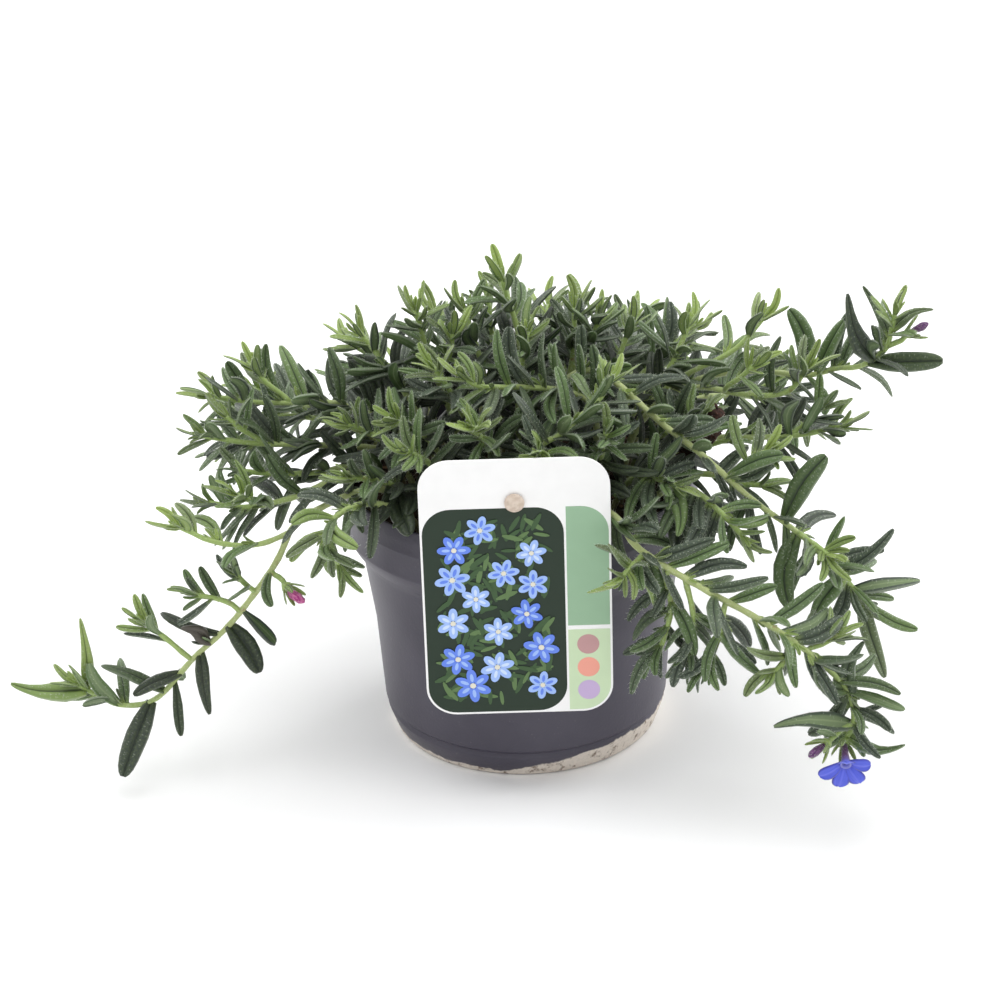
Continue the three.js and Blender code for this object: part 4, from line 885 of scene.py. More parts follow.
def addExtras(chains, blades, crowd):
    chance = np.random.default_rng(extra["seed"])
    for node, plan in enumerate(leafyStems):
        own = [chain for chain in chains if chain["node"] == node]
        for start, end, *form in drapes.get(plan["name"], []):
            nearest = min(own, key=lambda chain: np.linalg.norm(chain["points"] - start, axis=1).min())
            placeLeaf(nearest, start, end, form, blades[node], crowd)
    for chain in chains[:-1]:
        if not chain["tip"]:
            addRosette(chain, blades[chain["node"]], chance)
    for chain in chains[:-1] * 2:
        addFillers(chain, blades[chain["node"]], crowd, chance)
    for node, own in enumerate(blades):
        for blade in list(own):
            old = blade["fromTip"] > extra["tuftsFrom"] and not blade.get("small")
            if old and chance.random() < extra["tufts"]:
                addTuft(blade, own, chance)
    for blade in (blade for own in blades for blade in own):
        drawn = {"chance": chance.random(), "curl": chance.uniform(-0.25, 0.65), "dry": 0.0,
                 "twist": chance.uniform(-0.8, 0.8), "sway": chance.uniform(-0.14, 0.14),
                 "taper": 0.6 * chance.random() ** 2.5,
                 "flipped": chance.random() < extra["flipped"] and not blade.get("small"),
                 "broad": chance.uniform(0.85, 1.15)}
        if chance.random() < extra["broad"] and blade["length"] > 12:
            drawn["broad"] = extra["broadBy"]
        for name, value in drawn.items():
            blade.setdefault(name, value)
        turnToLight(blade)
        # painted light and shade: other leaves above a leaf let it turn darker, past age 1 into painted
        # shade, while a leaf in the open keeps a lighter colour
        above = crowd.points[:crowd.count] - blade["base"]
        beside = np.all(np.abs(above[:, :2]) < extra["coverAside"], axis=1)
        cover = np.sum(beside & (above[:, 2] > extra["coverAbove"]))
        if not blade.get("small"):
            blade["age"] = blade["fromTip"] / extra["ripe"] + chance.uniform(0.05, 0.35)
        paintedShadeCap = min(1, np.interp(blade["chance"], [0, 1], extra["open"]) + cover / extra["closed"])
        blade["age"] = min(paintedShadeCap, blade["age"]) + min(1, cover / extra["cover"])
        blade["width"] = blade["width"] * blade["broad"]


def turnToLight(blade):
    # a leaf whose upper face would look down turns about its own length towards the light, and a
    # flipped one shows its pale underside
    if blade["face"][2] < 0.45:
        wanted = blade["face"] * 0.35 + np.array([0, -0.3, 1.0])
        wanted = wanted - blade["along"] * np.dot(wanted, blade["along"])
        if np.linalg.norm(wanted) > 0.2:
            blade["face"] = unit(wanted)
    if blade["flipped"]:
        blade["face"] = -blade["face"]
        blade["bend"] = -blade["bend"]
    blade["side"] = np.cross(blade["along"], blade["face"])


def addRosette(chain, own, chance):
    # young leaves round the tip, the inner ones nearly upright
    axis = tangentAlong(chain, 0)
    upright, sideways = frameAround(axis)
    for k in range(extra["rosette"]):
        turn = chain["turn"] + 1.1 + k * goldenAngle
        out = outward(upright, sideways, turn)
        base = chain["points"][-1] - axis * 0.45 * k
        length = 4.0 + 1.0 * k * chance.uniform(0.8, 1.2)
        direction = spreadFrom(axis, out, math.radians(8 + 8 * k))
        blade = makeBlade(base, direction, axis * 0.3 - out, length, 0.1)
        blade.update(age=0.07 * k, fromTip=0.4 * k, axis=axis, chain=chain, small=True)
        own.append(blade)


def addFillers(chain, own, crowd, chance):
    # further leaves down the stem, wherever one finds room
    lowest = 3.0 if chain["parent"] else soil["holeDepth"] + 12
    fromTip = chance.uniform(3.5, 6.0)
    while chain["reach"] - fromTip > lowest:
        axis = tangentAlong(chain, fromTip)
        base = pointAlong(chain, fromTip)
        level = 1 - abs(axis[2])
        upright, sideways = frameAround(axis)
        grown = min(1, fromTip / leaf["grownAt"])
        length = (leaf["young"] - 2 + (leaf["grown"] - leaf["young"]) * grown) * chance.uniform(0.9, 1.2)
        near = crowd.around(base, length + 4)
        share = extra["sparse"].get(leafyStems[chain["node"]]["name"], 1)
        bare = fromTip < extra["sparseTo"] and chance.random() > share
        for _ in range(0 if bare else extra["attempts"]):
            turn = chance.uniform(0, 2 * math.pi)
            spread = math.radians(chance.uniform(35, 70))
            direction = spreadFrom(axis, outward(upright, sideways, turn), spread) + up * 0.3 * level
            bend = leaf["arch"] - leaf["droop"] * grown * chance.uniform(0.2, 1.2)
            blade = makeBlade(base, direction, leafFace(axis, level), length, bend)
            u, points = leafSamples(blade)
            if isClear(u, points, chain["node"], near, extra["ease"]):
                crowd.add(points[u > 0.15], chain["node"], 1)
                blade.update(age=grown, fromTip=fromTip, axis=axis, chain=chain)
                own.append(blade)
                break
        fromTip += chance.uniform(extra["stepLow"], extra["stepHigh"])


def addTuft(blade, own, chance):
    # small leaves between a grown leaf and its stem
    heart = unit(blade["along"] + blade["axis"] * 0.6 + up * 0.15)
    upright, sideways = frameAround(heart)
    base = blade["base"] + heart * 0.8
    for k in range(extra["tuftLeaves"]):
        out = outward(upright, sideways, chance.uniform(0, 1) + k * goldenAngle)
        direction = spreadFrom(heart, out, math.radians(12 + 11 * k))
        small = makeBlade(base, direction, heart * 0.3 - out, chance.uniform(3.2, 6.5), 0.08)
        if clearOfHard(leafSamples(small)[1]):
            small.update(age=0.1 + 0.3 * chance.random(), fromTip=blade["fromTip"], axis=heart,
                         chain=blade["chain"], small=True)
            own.append(small)


# Skins: points, faces and looks are gathered for a piece before they become its mesh

class Gathered:
    def __init__(self):
        self.parts = []
        self.count = 0

    def add(self, points, corners, sizes, place, tone, slot):
        self.parts.append((points, corners + self.count, sizes, place, tone, np.full(len(sizes), slot)))
        self.count += len(points)

    def build(self, name, materials):
        points, corners, sizes, place, tone, slots = (np.concatenate(part) for part in zip(*self.parts))
        mesh = bpy.data.meshes.new(name)
        mesh.vertices.add(len(points))
        mesh.vertices.foreach_set("co", (points * mm).astype(np.float32).ravel())
        mesh.loops.add(len(corners))
        mesh.loops.foreach_set("vertex_index", corners.astype(np.int32))
        mesh.polygons.add(len(sizes))
        starts = np.concatenate([[0], np.cumsum(sizes)[:-1]])
        mesh.polygons.foreach_set("loop_start", starts.astype(np.int32))
        mesh.polygons.foreach_set("material_index", slots.astype(np.int32))
        mesh.polygons.foreach_set("use_smooth", np.ones(len(sizes), bool))
        for title, values in (("leafPlace", place), ("leafTone", tone)):
            layer = mesh.attributes.new(title, "FLOAT_VECTOR", "POINT")
            layer.data.foreach_set("vector", values.astype(np.float32).ravel())
        mesh.update(calc_edges=True)
        mesh.validate()
        for material in materials:
            mesh.materials.append(material)
        made = bpy.data.objects.new(name, mesh)
        bpy.context.collection.objects.link(made)
        return made


def skinFaces(rings, size):
    # quads round a row of rings, and one flat face over each end
    k = np.arange(size)
    nextK = (k + 1) % size
    start = (np.arange(rings - 1) * size)[:, None]
    quads = np.stack([start + k, start + nextK, start + size + nextK, start + size + k], axis=2)
    corners = np.concatenate([quads.ravel(), k[::-1], (rings - 1) * size + k])
    return corners, np.concatenate([np.full((rings - 1) * size, 4), [size, size]])


def repeated(faces, copies, step):
    corners, sizes = faces
    shifted = (np.arange(copies) * step)[:, None] + corners[None]
    return shifted.ravel(), np.tile(sizes, copies)


def tubeRings(path, radii, sides, bumpy=None):
    axis = unitRows(np.gradient(path, axis=0))
    right = frameAround(axis[0])[0]
    turns = np.arange(sides) / sides * 2 * math.pi
    rings = []
    for i, point in enumerate(path):
        right = unit(right - axis[i] * np.dot(right, axis[i]))
        above = np.cross(axis[i], right)
        radius = radii[i] * (1 if bumpy is None else bumpy[i])
        across, rise = np.cos(turns) * radius, np.sin(turns) * radius
        rings.append(point + across[:, None] * right + rise[:, None] * above)
    return np.array(rings)


def addTube(gathered, path, radii, sides, tones, slot, bumpy=None):
    # a closed tube along a path, with a tone for each of its rings
    rings = tubeRings(path, radii, sides, bumpy)
    corners, sizes = skinFaces(len(path), sides)
    along = np.linspace(0, 1, len(path)) * np.linalg.norm(np.diff(path, axis=0), axis=1).sum()
    across = np.abs(np.linspace(-1, 1, sides))
    place = np.stack([np.tile(across, len(path)), np.repeat(along, sides), np.zeros(len(path) * sides)],
                     axis=1)
    gathered.add(rings.reshape(-1, 3), corners, sizes, place, np.repeat(tones, sides, axis=0), slot)


# Section of a leaf from its left rolled edge over the two ridges and the groove, and back underneath
section = np.array([(-0.78, -0.48), (-1.0, -0.24), (-0.92, 0.06), (-0.52, 0.29), (-0.14, 0.04), (0, -0.16),
                    (0.14, 0.04), (0.52, 0.29), (0.92, 0.06), (1.0, -0.24), (0.78, -0.48), (0.45, -0.15),
                    (0, -0.38), (-0.45, -0.15)])
sectionUnder = np.array([1, 0, 0, 0, 0, 0, 0, 0, 0, 0, 1, 1, 1, 1.0])
bigPlaces = np.array([0, 0.11, 0.27, 0.45, 0.62, 0.77, 0.88, 0.95, 0.988])
smallPlaces = np.array([0, 0.28, 0.62, 0.88, 0.985])


def stacked(blades):
    keys = ("base", "along", "face", "side", "length", "width", "bend", "curl", "sway", "twist", "taper",
            "age", "chance", "dry")
    return {key: np.array([blade[key] for blade in blades], float) for key in keys}


def leafFrames(rows, u):
    # middle, direction, side, upper normal and half width of every leaf at its places u
    length, curl = rows["length"][:, None], rows["curl"][:, None]
    bend, sway = rows["bend"][:, None], rows["sway"][:, None]
    past = np.maximum(0, u - 0.5)
    lift = length * (bend * u ** 2 - curl * past ** 2)
    drift = length * sway * np.sin(math.pi * u)
    along, face, side = (rows[key][:, None, :] for key in ("along", "face", "side"))
    middle = (rows["base"][:, None, :] + along * (length * u)[..., None] + face * lift[..., None]
              + side * drift[..., None])
    slope = (2 * bend * u - 2 * curl * past)[..., None]
    heading = unitRows(along + face * slope + side * (sway * math.pi * np.cos(math.pi * u))[..., None])
    level = unitRows(side - heading * np.sum(side * heading, axis=2)[..., None])
    normal = np.cross(level, heading)
    twist = (rows["twist"][:, None] * u)[..., None]
    turnedSide = level * np.cos(twist) + normal * np.sin(twist)
    turnedNormal = normal * np.cos(twist) - level * np.sin(twist)
    # half widths of a blunt leaf and of one that is drawn out to a point, mixed by its taper
    blunt = np.minimum(1, 0.42 + 1.45 * u) * np.sqrt(1 - np.maximum(0, (u - 0.6) / 0.4) ** 2.5)
    fall = np.clip((u - 0.2) / 0.8, 0, 1)
    drawn = np.minimum(1.1, 0.6 + 2.4 * u) * (1 - 0.72 * fall * fall * (3 - 2 * fall))
    drawn = drawn * np.sqrt(1 - np.maximum(0, (u - 0.86) / 0.14) ** 2)
    taper = rows["taper"][:, None]
    half = 0.5 * rows["width"][:, None] * (blunt * (1 - taper) + drawn * taper)
    return middle, heading, turnedSide, turnedNormal, half


def addLeafSkins(gathered, blades, places, slot):
    if not blades:
        return
    rows = stacked(blades)
    u = np.tile(places, (len(blades), 1))
    middle, _, side, normal, half = leafFrames(rows, u)
    half = half[..., None, None]
    across, height = (section[:, i][None, None, :, None] for i in range(2))
    points = middle[:, :, None] + side[:, :, None] * across * half + normal[:, :, None] * height * half
    size = len(section)
    corners, sizes = repeated(skinFaces(len(places), size), len(blades), len(places) * size)
    shape = points.shape[:3]
    place = np.stack([np.broadcast_to(section[:, 0], shape),
                      np.broadcast_to((rows["length"][:, None] * u)[..., None], shape),
                      np.broadcast_to(sectionUnder, shape)], axis=-1)
    tone = np.stack([np.broadcast_to(rows[key][:, None, None], shape) for key in ("age", "chance", "dry")],
                    axis=-1)
    gathered.add(points.reshape(-1, 3), corners, sizes, place.reshape(-1, 3), tone.reshape(-1, 3), slot)


def addSpikes(gathered, bases, directions, lengths, slot):
    # thin closed hairs with three sides and a point
    count = len(bases)
    directions = unitRows(directions)
    helper = np.where(np.abs(directions[:, 2:]) < 0.8, up, np.array([1.0, 0, 0]))
    right = unitRows(np.cross(helper, directions))
    above = np.cross(directions, right)
    turns = np.arange(3) / 3 * 2 * math.pi
    ring = (bases[:, None] + hair["radius"] * (np.cos(turns)[None, :, None] * right[:, None]
                                               + np.sin(turns)[None, :, None] * above[:, None]))
    points = np.concatenate([ring, (bases + directions * lengths[:, None])[:, None]], axis=1)
    faces = np.array([0, 1, 3, 1, 2, 3, 2, 0, 3, 2, 1, 0]), np.full(4, 3)
    corners, sizes = repeated(faces, count, 4)
    blank = np.zeros((count * 4, 3))
    gathered.add(points.reshape(-1, 3), corners, sizes, blank, blank, slot)


def addLeafHairs(gathered, blades, edge, ridge, below, chance, slot):
    # kinds of hair: 0 along the edges, 1 on the ridges, 2 on the underside
    if not blades:
        return
    rows = stacked(blades)
    count = len(blades)
    total = 2 * edge + ridge + below
    kind = np.concatenate([np.zeros(2 * edge), np.ones(ridge), np.full(below, 2)])
    u = chance.uniform(0.04, 0.985, (count, total))
    u[:, :2 * edge] = (np.tile(np.arange(edge), 2) + chance.random((count, 2 * edge))) / edge * 0.95 + 0.04
    u = np.minimum(u, 0.985)
    across = np.clip(chance.normal(0.56, 0.15, (count, total)), 0.15, 0.95)
    across = across * chance.choice([-1, 1], (count, total))
    across[:, :edge] = -1.0
    across[:, edge:2 * edge] = 1.0
    across[:, 2 * edge + ridge:] *= 0.2
    middle, heading, side, normal, half = leafFrames(rows, u)
    top = np.interp(np.abs(across), [0, 0.14, 0.52, 0.92, 1.0], [-0.16, 0.04, 0.29, 0.06, -0.2])
    height = np.where(kind == 2, -0.36, np.where(kind == 0, -0.1, top)) * half
    bases = middle + side * (across * half * 0.97)[..., None] + normal * height[..., None]
    jitter = chance.normal(0, 0.16, bases.shape)
    away = np.where(kind == 0, 1.0, 0.25)[:, None] * np.sign(across)[..., None] * side
    rise = np.where(kind == 0, 0.12, np.where(kind == 1, 0.80, -0.7))[:, None] * normal
    directions = heading * 0.75 + away + rise + jitter
    scale = np.clip(rows["length"] / 15, 0.55, 1.0)[:, None]
    lengths = hair["length"] * scale * np.where(kind == 1, 0.7, 1.0) * chance.uniform(0.65, 1.25, u.shape)
    addSpikes(gathered, bases.reshape(-1, 3), directions.reshape(-1, 3), lengths.ravel(), slot)


def addStemHairs(gathered, path, radii, chance, slot):
    reach = np.concatenate([[0], np.cumsum(np.linalg.norm(np.diff(path, axis=0), axis=1))])
    count = int(reach[-1] / hair["stemEvery"])
    if count < 2:
        return
    at = chance.uniform(0, reach[-1], count)
    middle = np.stack([np.interp(at, reach, path[:, i]) for i in range(3)], axis=1)
    slope = np.gradient(path, axis=0)
    axis = unitRows(np.stack([np.interp(at, reach, slope[:, i]) for i in range(3)], axis=1))
    out = chance.normal(0, 1, (count, 3))
    out = unitRows(out - axis * np.sum(out * axis, axis=1)[:, None])
    bases = middle + out * (np.interp(at, reach, radii) * 0.9)[:, None]
    lengths = hair["stemLength"] * chance.uniform(0.6, 1.3, count)
    addSpikes(gathered, bases, out + axis * chance.uniform(0, 0.6, (count, 1)), lengths, slot)


def addStem(gathered, chain, chance):
    # a stem thins to its tip, swells a little at its knots, and is woody near the soil
    path = chain["curve"]
    share = np.linspace(0, 1, len(path))
    radii = chain["radius"] + (stem["tipRadius"] - chain["radius"]) * share
    radii = 1.08 * radii * (1 + 0.07 * np.sin(np.arange(len(path)) * 1.7 + chain["turn"]))
    age = np.clip((1 - share) * chain["reach"] / 90, 0, 1)
    woody = np.zeros(len(path)) if chain["parent"] else np.clip(1.4 - share * chain["reach"] / 22, 0, 1)
    tones = np.stack([age, np.full(len(path), 0.5), woody], axis=1)
    addTube(gathered, path, radii, stem["sides"], tones, 1)
    addStemHairs(gathered, path, radii, chance, 2)


def addCalyx(gathered, bloom, chance):
    # a small cup with five pointed sepals
    tip, axis = bloom["tip"], bloom["axis"]
    places = np.array([-2.2, -1.3, -0.6, 0.0]) * flower["cup"]
    path = tip + axis * places[:, None]
    addTube(gathered, path, np.array([0.7, 1.5, 2.0, 1.9]), 12, np.tile([0.1, 0.5, 0.0], (4, 1)), 1)
    sepals = []
    for k in range(flower["lobes"]):
        out = turned(sideOf(axis), axis, (k + 0.5) / flower["lobes"] * 2 * math.pi)
        blade = makeBlade(tip - axis + out * 1.2, axis * 0.9 + out * 0.55, -out, flower["sepal"], 0.0)
        blade.update(width=1.9, age=0.35, chance=0.4, dry=0.0, curl=-0.15, sway=0.0, twist=0.0, taper=0.4)
        sepals.append(blade)
    addLeafSkins(gathered, sepals, smallPlaces, 0)
    addLeafHairs(gathered, sepals, 10, 10, 14, chance, 2)


def snapToCurve(blade):
    # solids root on straight pieces, the finer leaf roots on the smooth stem
    curve = blade["chain"]["curve"]
    nearest = curve[nearestIndex(curve, blade["base"])]
    if np.linalg.norm(nearest - blade["base"]) > 0.8:
        blade["base"] = blade["base"] + (nearest - blade["base"]) * 0.6


def standFor(piece, node):
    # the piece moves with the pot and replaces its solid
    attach(piece, "root")
    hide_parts(node)


def makeLeafyStem(node, plan, chains, blades, blooms, finishes, chance):
    gathered = Gathered()
    for chain in chains:
        if chain["node"] == node:
            addStem(gathered, chain, chance)
    big = [blade for blade in blades[node] if not blade.get("small")]
    small = [blade for blade in blades[node] if blade.get("small")]
    for blade in big + small:
        snapToCurve(blade)
    addLeafSkins(gathered, big, bigPlaces, 0)
    addLeafSkins(gathered, small, smallPlaces, 0)
    # leaves deep under others need no hairs
    bigHairy = [blade for blade in big if blade["age"] < hair["bareFrom"]]
    smallHairy = [blade for blade in small if blade["age"] < hair["bareFrom"]]
    addLeafHairs(gathered, bigHairy, hair["edge"], hair["ridge"], hair["below"], chance, 2)
    addLeafHairs(gathered, smallHairy, hair["smallEdge"], hair["smallRidge"], 0, chance, 2)
    for bloom in blooms:
        if bloom["node"] == node:
            addCalyx(gathered, bloom, chance)
    standFor(gathered.build(plan["name"].replace("stem_", "leafy_"), finishes), plan["name"])


# Flower, buds and the withered corolla

# The open flower: sizes in mm, and for each lobe its turn, its reach and how far it leans forward. The
# wall of the tube runs up outside and down inside, as height and radius, with how purple it is and how
# far it belongs to the throat.
flower = {"cup": 1.3, "sepal": 6.4, "tube": 8.5, "lobe": 6.4, "lobeWidth": 5.6, "lobes": 5, "sides": 20,
          "hairs": 90, "turns": [5, 92, -152, -101, -56], "reach": [0.95, 0.8, 1.2, 1.25, 1.15],
          "lean": [0.34, 1.3, 0.3, 0.25, 0.3],
          "wall": [(0.3, 1.0, 1, 0), (2.6, 1.05, 1, 0), (5.2, 1.2, 1, 0), (7.2, 1.5, 0.7, 0),
                   (8.7, 1.85, 0.15, 0.1), (8.9, 1.65, 0, 1), (8.3, 1.2, 0, 0.9), (6.6, 0.8, 0.6, 0.2),
                   (5.4, 0.6, 1, 0)],
          "look": {"blue": (0.055, 0.085, 0.62), "line": (0.025, 0.02, 0.30), "stripe": (0.14, 0.17, 0.78),
                   "tube": (0.10, 0.035, 0.13), "eye": (0.24, 0.25, 0.62)}}


def makePetalFinish():
    # leafPlace: across -1 to 1, along 0 to 1, 1 on the tube. leafTone: 1 in the throat
    look = flower["look"]
    finish = newFinish("petalBlue", roughness=0.55, sheen=0.25)
    place, across, along, tube = finish.attribute("leafPlace")
    throat = finish.attribute("leafTone")[1]
    aside = finish.math("ABSOLUTE", across)
    veins = finish.noise(finish.stretched(place, (5.0, 0.8, 1.0)), 2.2, 3.0)
    blue = finish.mix(finish.range(veins, 0.45, 0.7, 0.0, 0.4), look["blue"], look["stripe"])
    blue = finish.mix(finish.range(aside, 0.0, 0.22, 0.45, 0.0), blue, look["stripe"])
    blue = finish.mix(finish.range(aside, 0.62, 1.0, 0.0, 0.85), blue, look["line"])
    blue = finish.mix(finish.range(along, 0.0, 0.30, 0.55, 0.0), blue, look["line"])
    blue = finish.mix(tube, blue, look["tube"])
    blue = finish.mix(throat, blue, look["eye"])
    finish.values(color=blue)
    finish.bump(veins, 0.3, 0.0003)
    return finish.material


def makeCorolla(bloom, petal, hairs, chance):
    tip, axis = bloom["tip"], bloom["axis"]
    gathered = Gathered()
    wall, sides, count = flower["wall"], flower["sides"], flower["hairs"]
    turns = np.arange(sides) / sides * 2 * math.pi
    right = sideOf(axis)
    above = np.cross(axis, right)
    around = np.cos(turns)[:, None] * right + np.sin(turns)[:, None] * above
    rings = np.array([tip + axis * height + radius * around for height, radius, *_ in wall])
    corners, sizes = skinFaces(len(wall), sides)
    purple, throat = (np.repeat([row[i] for row in wall], sides) for i in (2, 3))
    blank = np.zeros(len(purple))
    place = np.stack([blank, blank + 0.5, purple], axis=1)
    tone = np.stack([throat, blank + 0.5, blank], axis=1)
    gathered.add(rings.reshape(-1, 3), corners, sizes, place, tone, 0)
    for k in range(flower["lobes"]):
        addLobe(gathered, tip, axis, k)
    bases = tip + axis * chance.uniform(1.0, 6.5, (count, 1))
    spin = chance.uniform(0, 2 * math.pi, count)
    out = np.cos(spin)[:, None] * right + np.sin(spin)[:, None] * above
    addSpikes(gathered, bases + out, out + axis * 0.7, chance.uniform(0.6, 1.1, count), 1)
    return gathered.build("corolla_open", [petal, hairs])


def addLobe(gathered, tip, axis, number):
    # a lobe is a thin loop of points, drawn out along its length with a ruffle and a shallow cup
    out = turned(sideOf(axis), axis, math.radians(flower["turns"][number]))
    side = np.cross(axis, out)
    base = tip + axis * (gap + flower["tube"] - 1.1) + out * 0.9
    along = unit(out * 0.94 + axis * flower["lean"][number])
    face = unit(axis - along * np.dot(axis, along))
    length = flower["lobe"] * flower["reach"][number] + 1
    u = np.array([0, 0.12, 0.25, 0.4, 0.55, 0.68, 0.8, 0.9, 0.965, 0.995])
    wide = np.interp(u, [0, 0.12, 0.3, 0.5, 0.68, 0.8, 0.9, 0.965, 0.995],
                     [0.40, 0.52, 0.78, 0.97, 1.04, 0.98, 0.80, 0.52, 0.22]) * flower["lobeWidth"] / 2
    v = np.linspace(-1, 1, 11)
    upper = np.stack([v, 0.05 + 0.10 * np.cos(v * math.pi * 2.5)], axis=1)
    lower = np.stack([v[::-1][1:-1], -0.06 + 0.08 * np.cos(v[::-1][1:-1] * math.pi * 2.5)], axis=1)
    loop = np.concatenate([upper, lower])
    rings = []
    for i, share in enumerate(u):
        middle = base + along * length * share + face * (0.55 * math.sin(2.6 * share) - 1.1 * share ** 3)
        ruffle = 0.22 * share * np.sin(loop[:, 0] * 4.2 + number * 1.9)
        cup = -0.28 * loop[:, 0] ** 2 * (1 - 0.5 * share)
        height = loop[:, 1] * (1.2 if i < len(u) - 1 else 0.6) + ruffle + cup
        rings.append(middle + side * (loop[:, 0] * wide[i])[:, None] + face * height[:, None])
    rings = np.array(rings)
    size = len(loop)
    corners, sizes = skinFaces(len(u), size)
    blank = np.zeros(len(u) * size)
    place = np.stack([np.tile(loop[:, 0], len(u)), np.repeat(u, size), blank], axis=1)
    eye = np.repeat(np.interp(u, [0, 0.08, 0.16], [0.8, 0.3, 0]), size)
    tone = np.stack([eye, blank + 0.2 * number, blank], axis=1)
    if np.dot(np.cross(side, along), face) < 0:
        corners = flipped(corners, sizes)
    gathered.add(rings.reshape(-1, 3), corners, sizes, place, tone, 0)


def flipped(corners, sizes):
    # the same faces, seen from the other side
    ends = np.cumsum(sizes)
    return np.concatenate([corners[end - size:end][::-1] for end, size in zip(ends, sizes)])


# The buds, and the corolla that has dried: sizes in mm, and how deep its five folds are
bud = {"length": 7, "girth": 1.4, "folds": 0.12, "ragged": 0, "roughness": 0.6,
       "look": {"dark": (0.075, 0.020, 0.095), "light": (0.17, 0.06, 0.19)}}
withered = {"length": 7.5, "girth": 1.5, "folds": 0.25, "ragged": 0.10, "roughness": 0.8,
            "look": {"dark": (0.38, 0.03, 0.20), "light": (0.68, 0.20, 0.42)}}


def makeSpindleFinish(name, plan):
    finish = newFinish(name, roughness=plan["roughness"], sheen=0.3)
    place = finish.attribute("leafPlace")[0]
    streak = finish.noise(finish.stretched(place, (3.0, 0.25, 1.0)), 3.0, 3.0)
    tint = finish.mix(finish.range(streak, 0.35, 0.65), plan["look"]["dark"], plan["look"]["light"])
    finish.values(color=tint)
    finish.bump(streak, 0.5, 0.0004)
    return finish.material


def makeSpindle(name, bloom, plan, material, hairs, chance):
    tip, axis = bloom["tip"], bloom["axis"]
    length, girth, sides, count = plan["length"], plan["girth"], 20, 60
    share = np.array([0, 0.08, 0.2, 0.35, 0.5, 0.65, 0.78, 0.89, 0.96, 0.99])
    fat = np.interp(share, [0, 0.3, 0.62, 0.85, 0.99], [0.55, 0.8, 1.0, 0.75, 0.2])
    path = tip + axis * (gap + share * length)[:, None]
    turns = np.arange(sides) / sides * 2 * math.pi
    folds = 1 + plan["folds"] * np.cos(5 * (turns[None, :] + 1.6 * share[:, None]))
    if plan["ragged"]:
        folds = folds + chance.normal(0, plan["ragged"], folds.shape)
        path = path + np.outer(np.sin(share * 5), np.cross(axis, up)) * 0.5
    gathered = Gathered()
    addTube(gathered, path, girth * fat, sides, np.tile([0, 0.5, 0.0], (len(share), 1)), 0, folds)
    at = chance.uniform(0.05, 0.95, count)
    out = chance.normal(0, 1, (count, 3))
    out = unitRows(out - axis * (out @ axis)[:, None])
    beside = 0.9 * girth * np.interp(at, share, fat)
    bases = tip + axis * (gap + at * length)[:, None] + out * beside[:, None]
    addSpikes(gathered, bases, out + axis * 1.2, chance.uniform(0.5, 1.0, count), 1)
    return gathered.build(name, [material, hairs])


# The dead twig and the ragged clod of bark and peat on it, in mm
twig = {"hole": (48, -14), "route": [(49, -15, 98), (56, -20, 107), (62, -23, 115), (66, -24, 123)],
        "radius": 1.3, "tip": 0.9, "sides": 12, "clod": 2.4, "ragged": 0.16, "crumbs": 70,
        "look": {"dark": (0.016, 0.007, 0.005), "bark": (0.055, 0.020, 0.012), "crumb": (0.20, 0.10, 0.06)}}


def makeTwig(chain, chance):
    look, sides = twig["look"], twig["sides"]
    finish = newFinish("twigBark", roughness=0.9)
    grain = finish.noise(finish.position(), 700.0, 4.0, 0.65)
    bark = finish.mix(finish.range(grain, 0.35, 0.6), look["dark"], look["bark"])
    finish.values(color=finish.mix(finish.range(grain, 0.62, 0.75), bark, look["crumb"]))
    finish.bump(grain, 1.0, 0.0008)
    path = smoothRoute(chain["points"], 0.9)
    share = np.linspace(0, 1, len(path))
    swollen = np.interp(share, [0.55, 0.68, 0.85, 0.95, 1.0], [0, 0.6, 1, 0.8, 0.25])
    radii = chain["radius"] + (twig["tip"] - chain["radius"]) * share + twig["clod"] * swollen
    rough = 1 + chance.normal(0, twig["ragged"], (len(path), sides))
    gathered = Gathered()
    addTube(gathered, path, radii, sides, np.zeros((len(path), 3)), 0, rough)
    for _ in range(twig["crumbs"]):
        at = int(chance.uniform(0.6, 1.0) * (len(path) - 1))
        out = unit(chance.normal(0, 1, 3))
        start = path[at] + out * radii[at] * 0.7
        crumb = start + out * np.linspace(0, chance.uniform(0.8, 2.4), 3)[:, None]
        addTube(gathered, crumb, np.array([0.45, 0.55, 0.2]), 5, np.zeros((3, 3)), 0)
    return gathered.build("twig_bark", [finish.material])


# Pot

def pickVertices(piece, wanted):
    # selects in edit mode the vertices whose place in mm is wanted
    bpy.ops.mesh.select_all(action="DESELECT")
    shape = bmesh.from_edit_mesh(piece.data)
    for vertex in shape.verts:
        if wanted(vertex.co / mm):
            vertex.select = True
    shape.select_flush_mode()
    bmesh.update_edit_mesh(piece.data)


def turnedShell(name, profile, segments):
    # a circle that is extruded and scaled from one ring of the profile to the next
    bpy.ops.object.select_all(action="DESELECT")
    radius, z = profile[0]
    bpy.ops.mesh.primitive_circle_add(vertices=segments, radius=radius * mm, location=(0, 0, z * mm))
    piece = bpy.context.object
    piece.name = name
    bpy.ops.object.transform_apply(location=True)
    bpy.ops.object.mode_set(mode="EDIT")
    bpy.ops.mesh.select_all(action="SELECT")
    for (r0, z0), (r1, z1) in zip(profile, profile[1:]):
        bpy.ops.mesh.extrude_region_move(TRANSFORM_OT_translate={"value": (0, 0, (z1 - z0) * mm)})
        bpy.ops.transform.resize(value=(r1 / r0, r1 / r0, 1), center_override=(0, 0, z1 * mm))
    bpy.ops.mesh.edge_face_add()
    pickVertices(piece, lambda p: abs(p.z - z) < 1e-3 and abs(p.xy.length - radius) < 1e-2)
    bpy.ops.mesh.edge_face_add()
    bpy.ops.mesh.select_all(action="SELECT")
    bpy.ops.mesh.normals_make_consistent(inside=False)
    bpy.ops.object.mode_set(mode="OBJECT")
    return piece


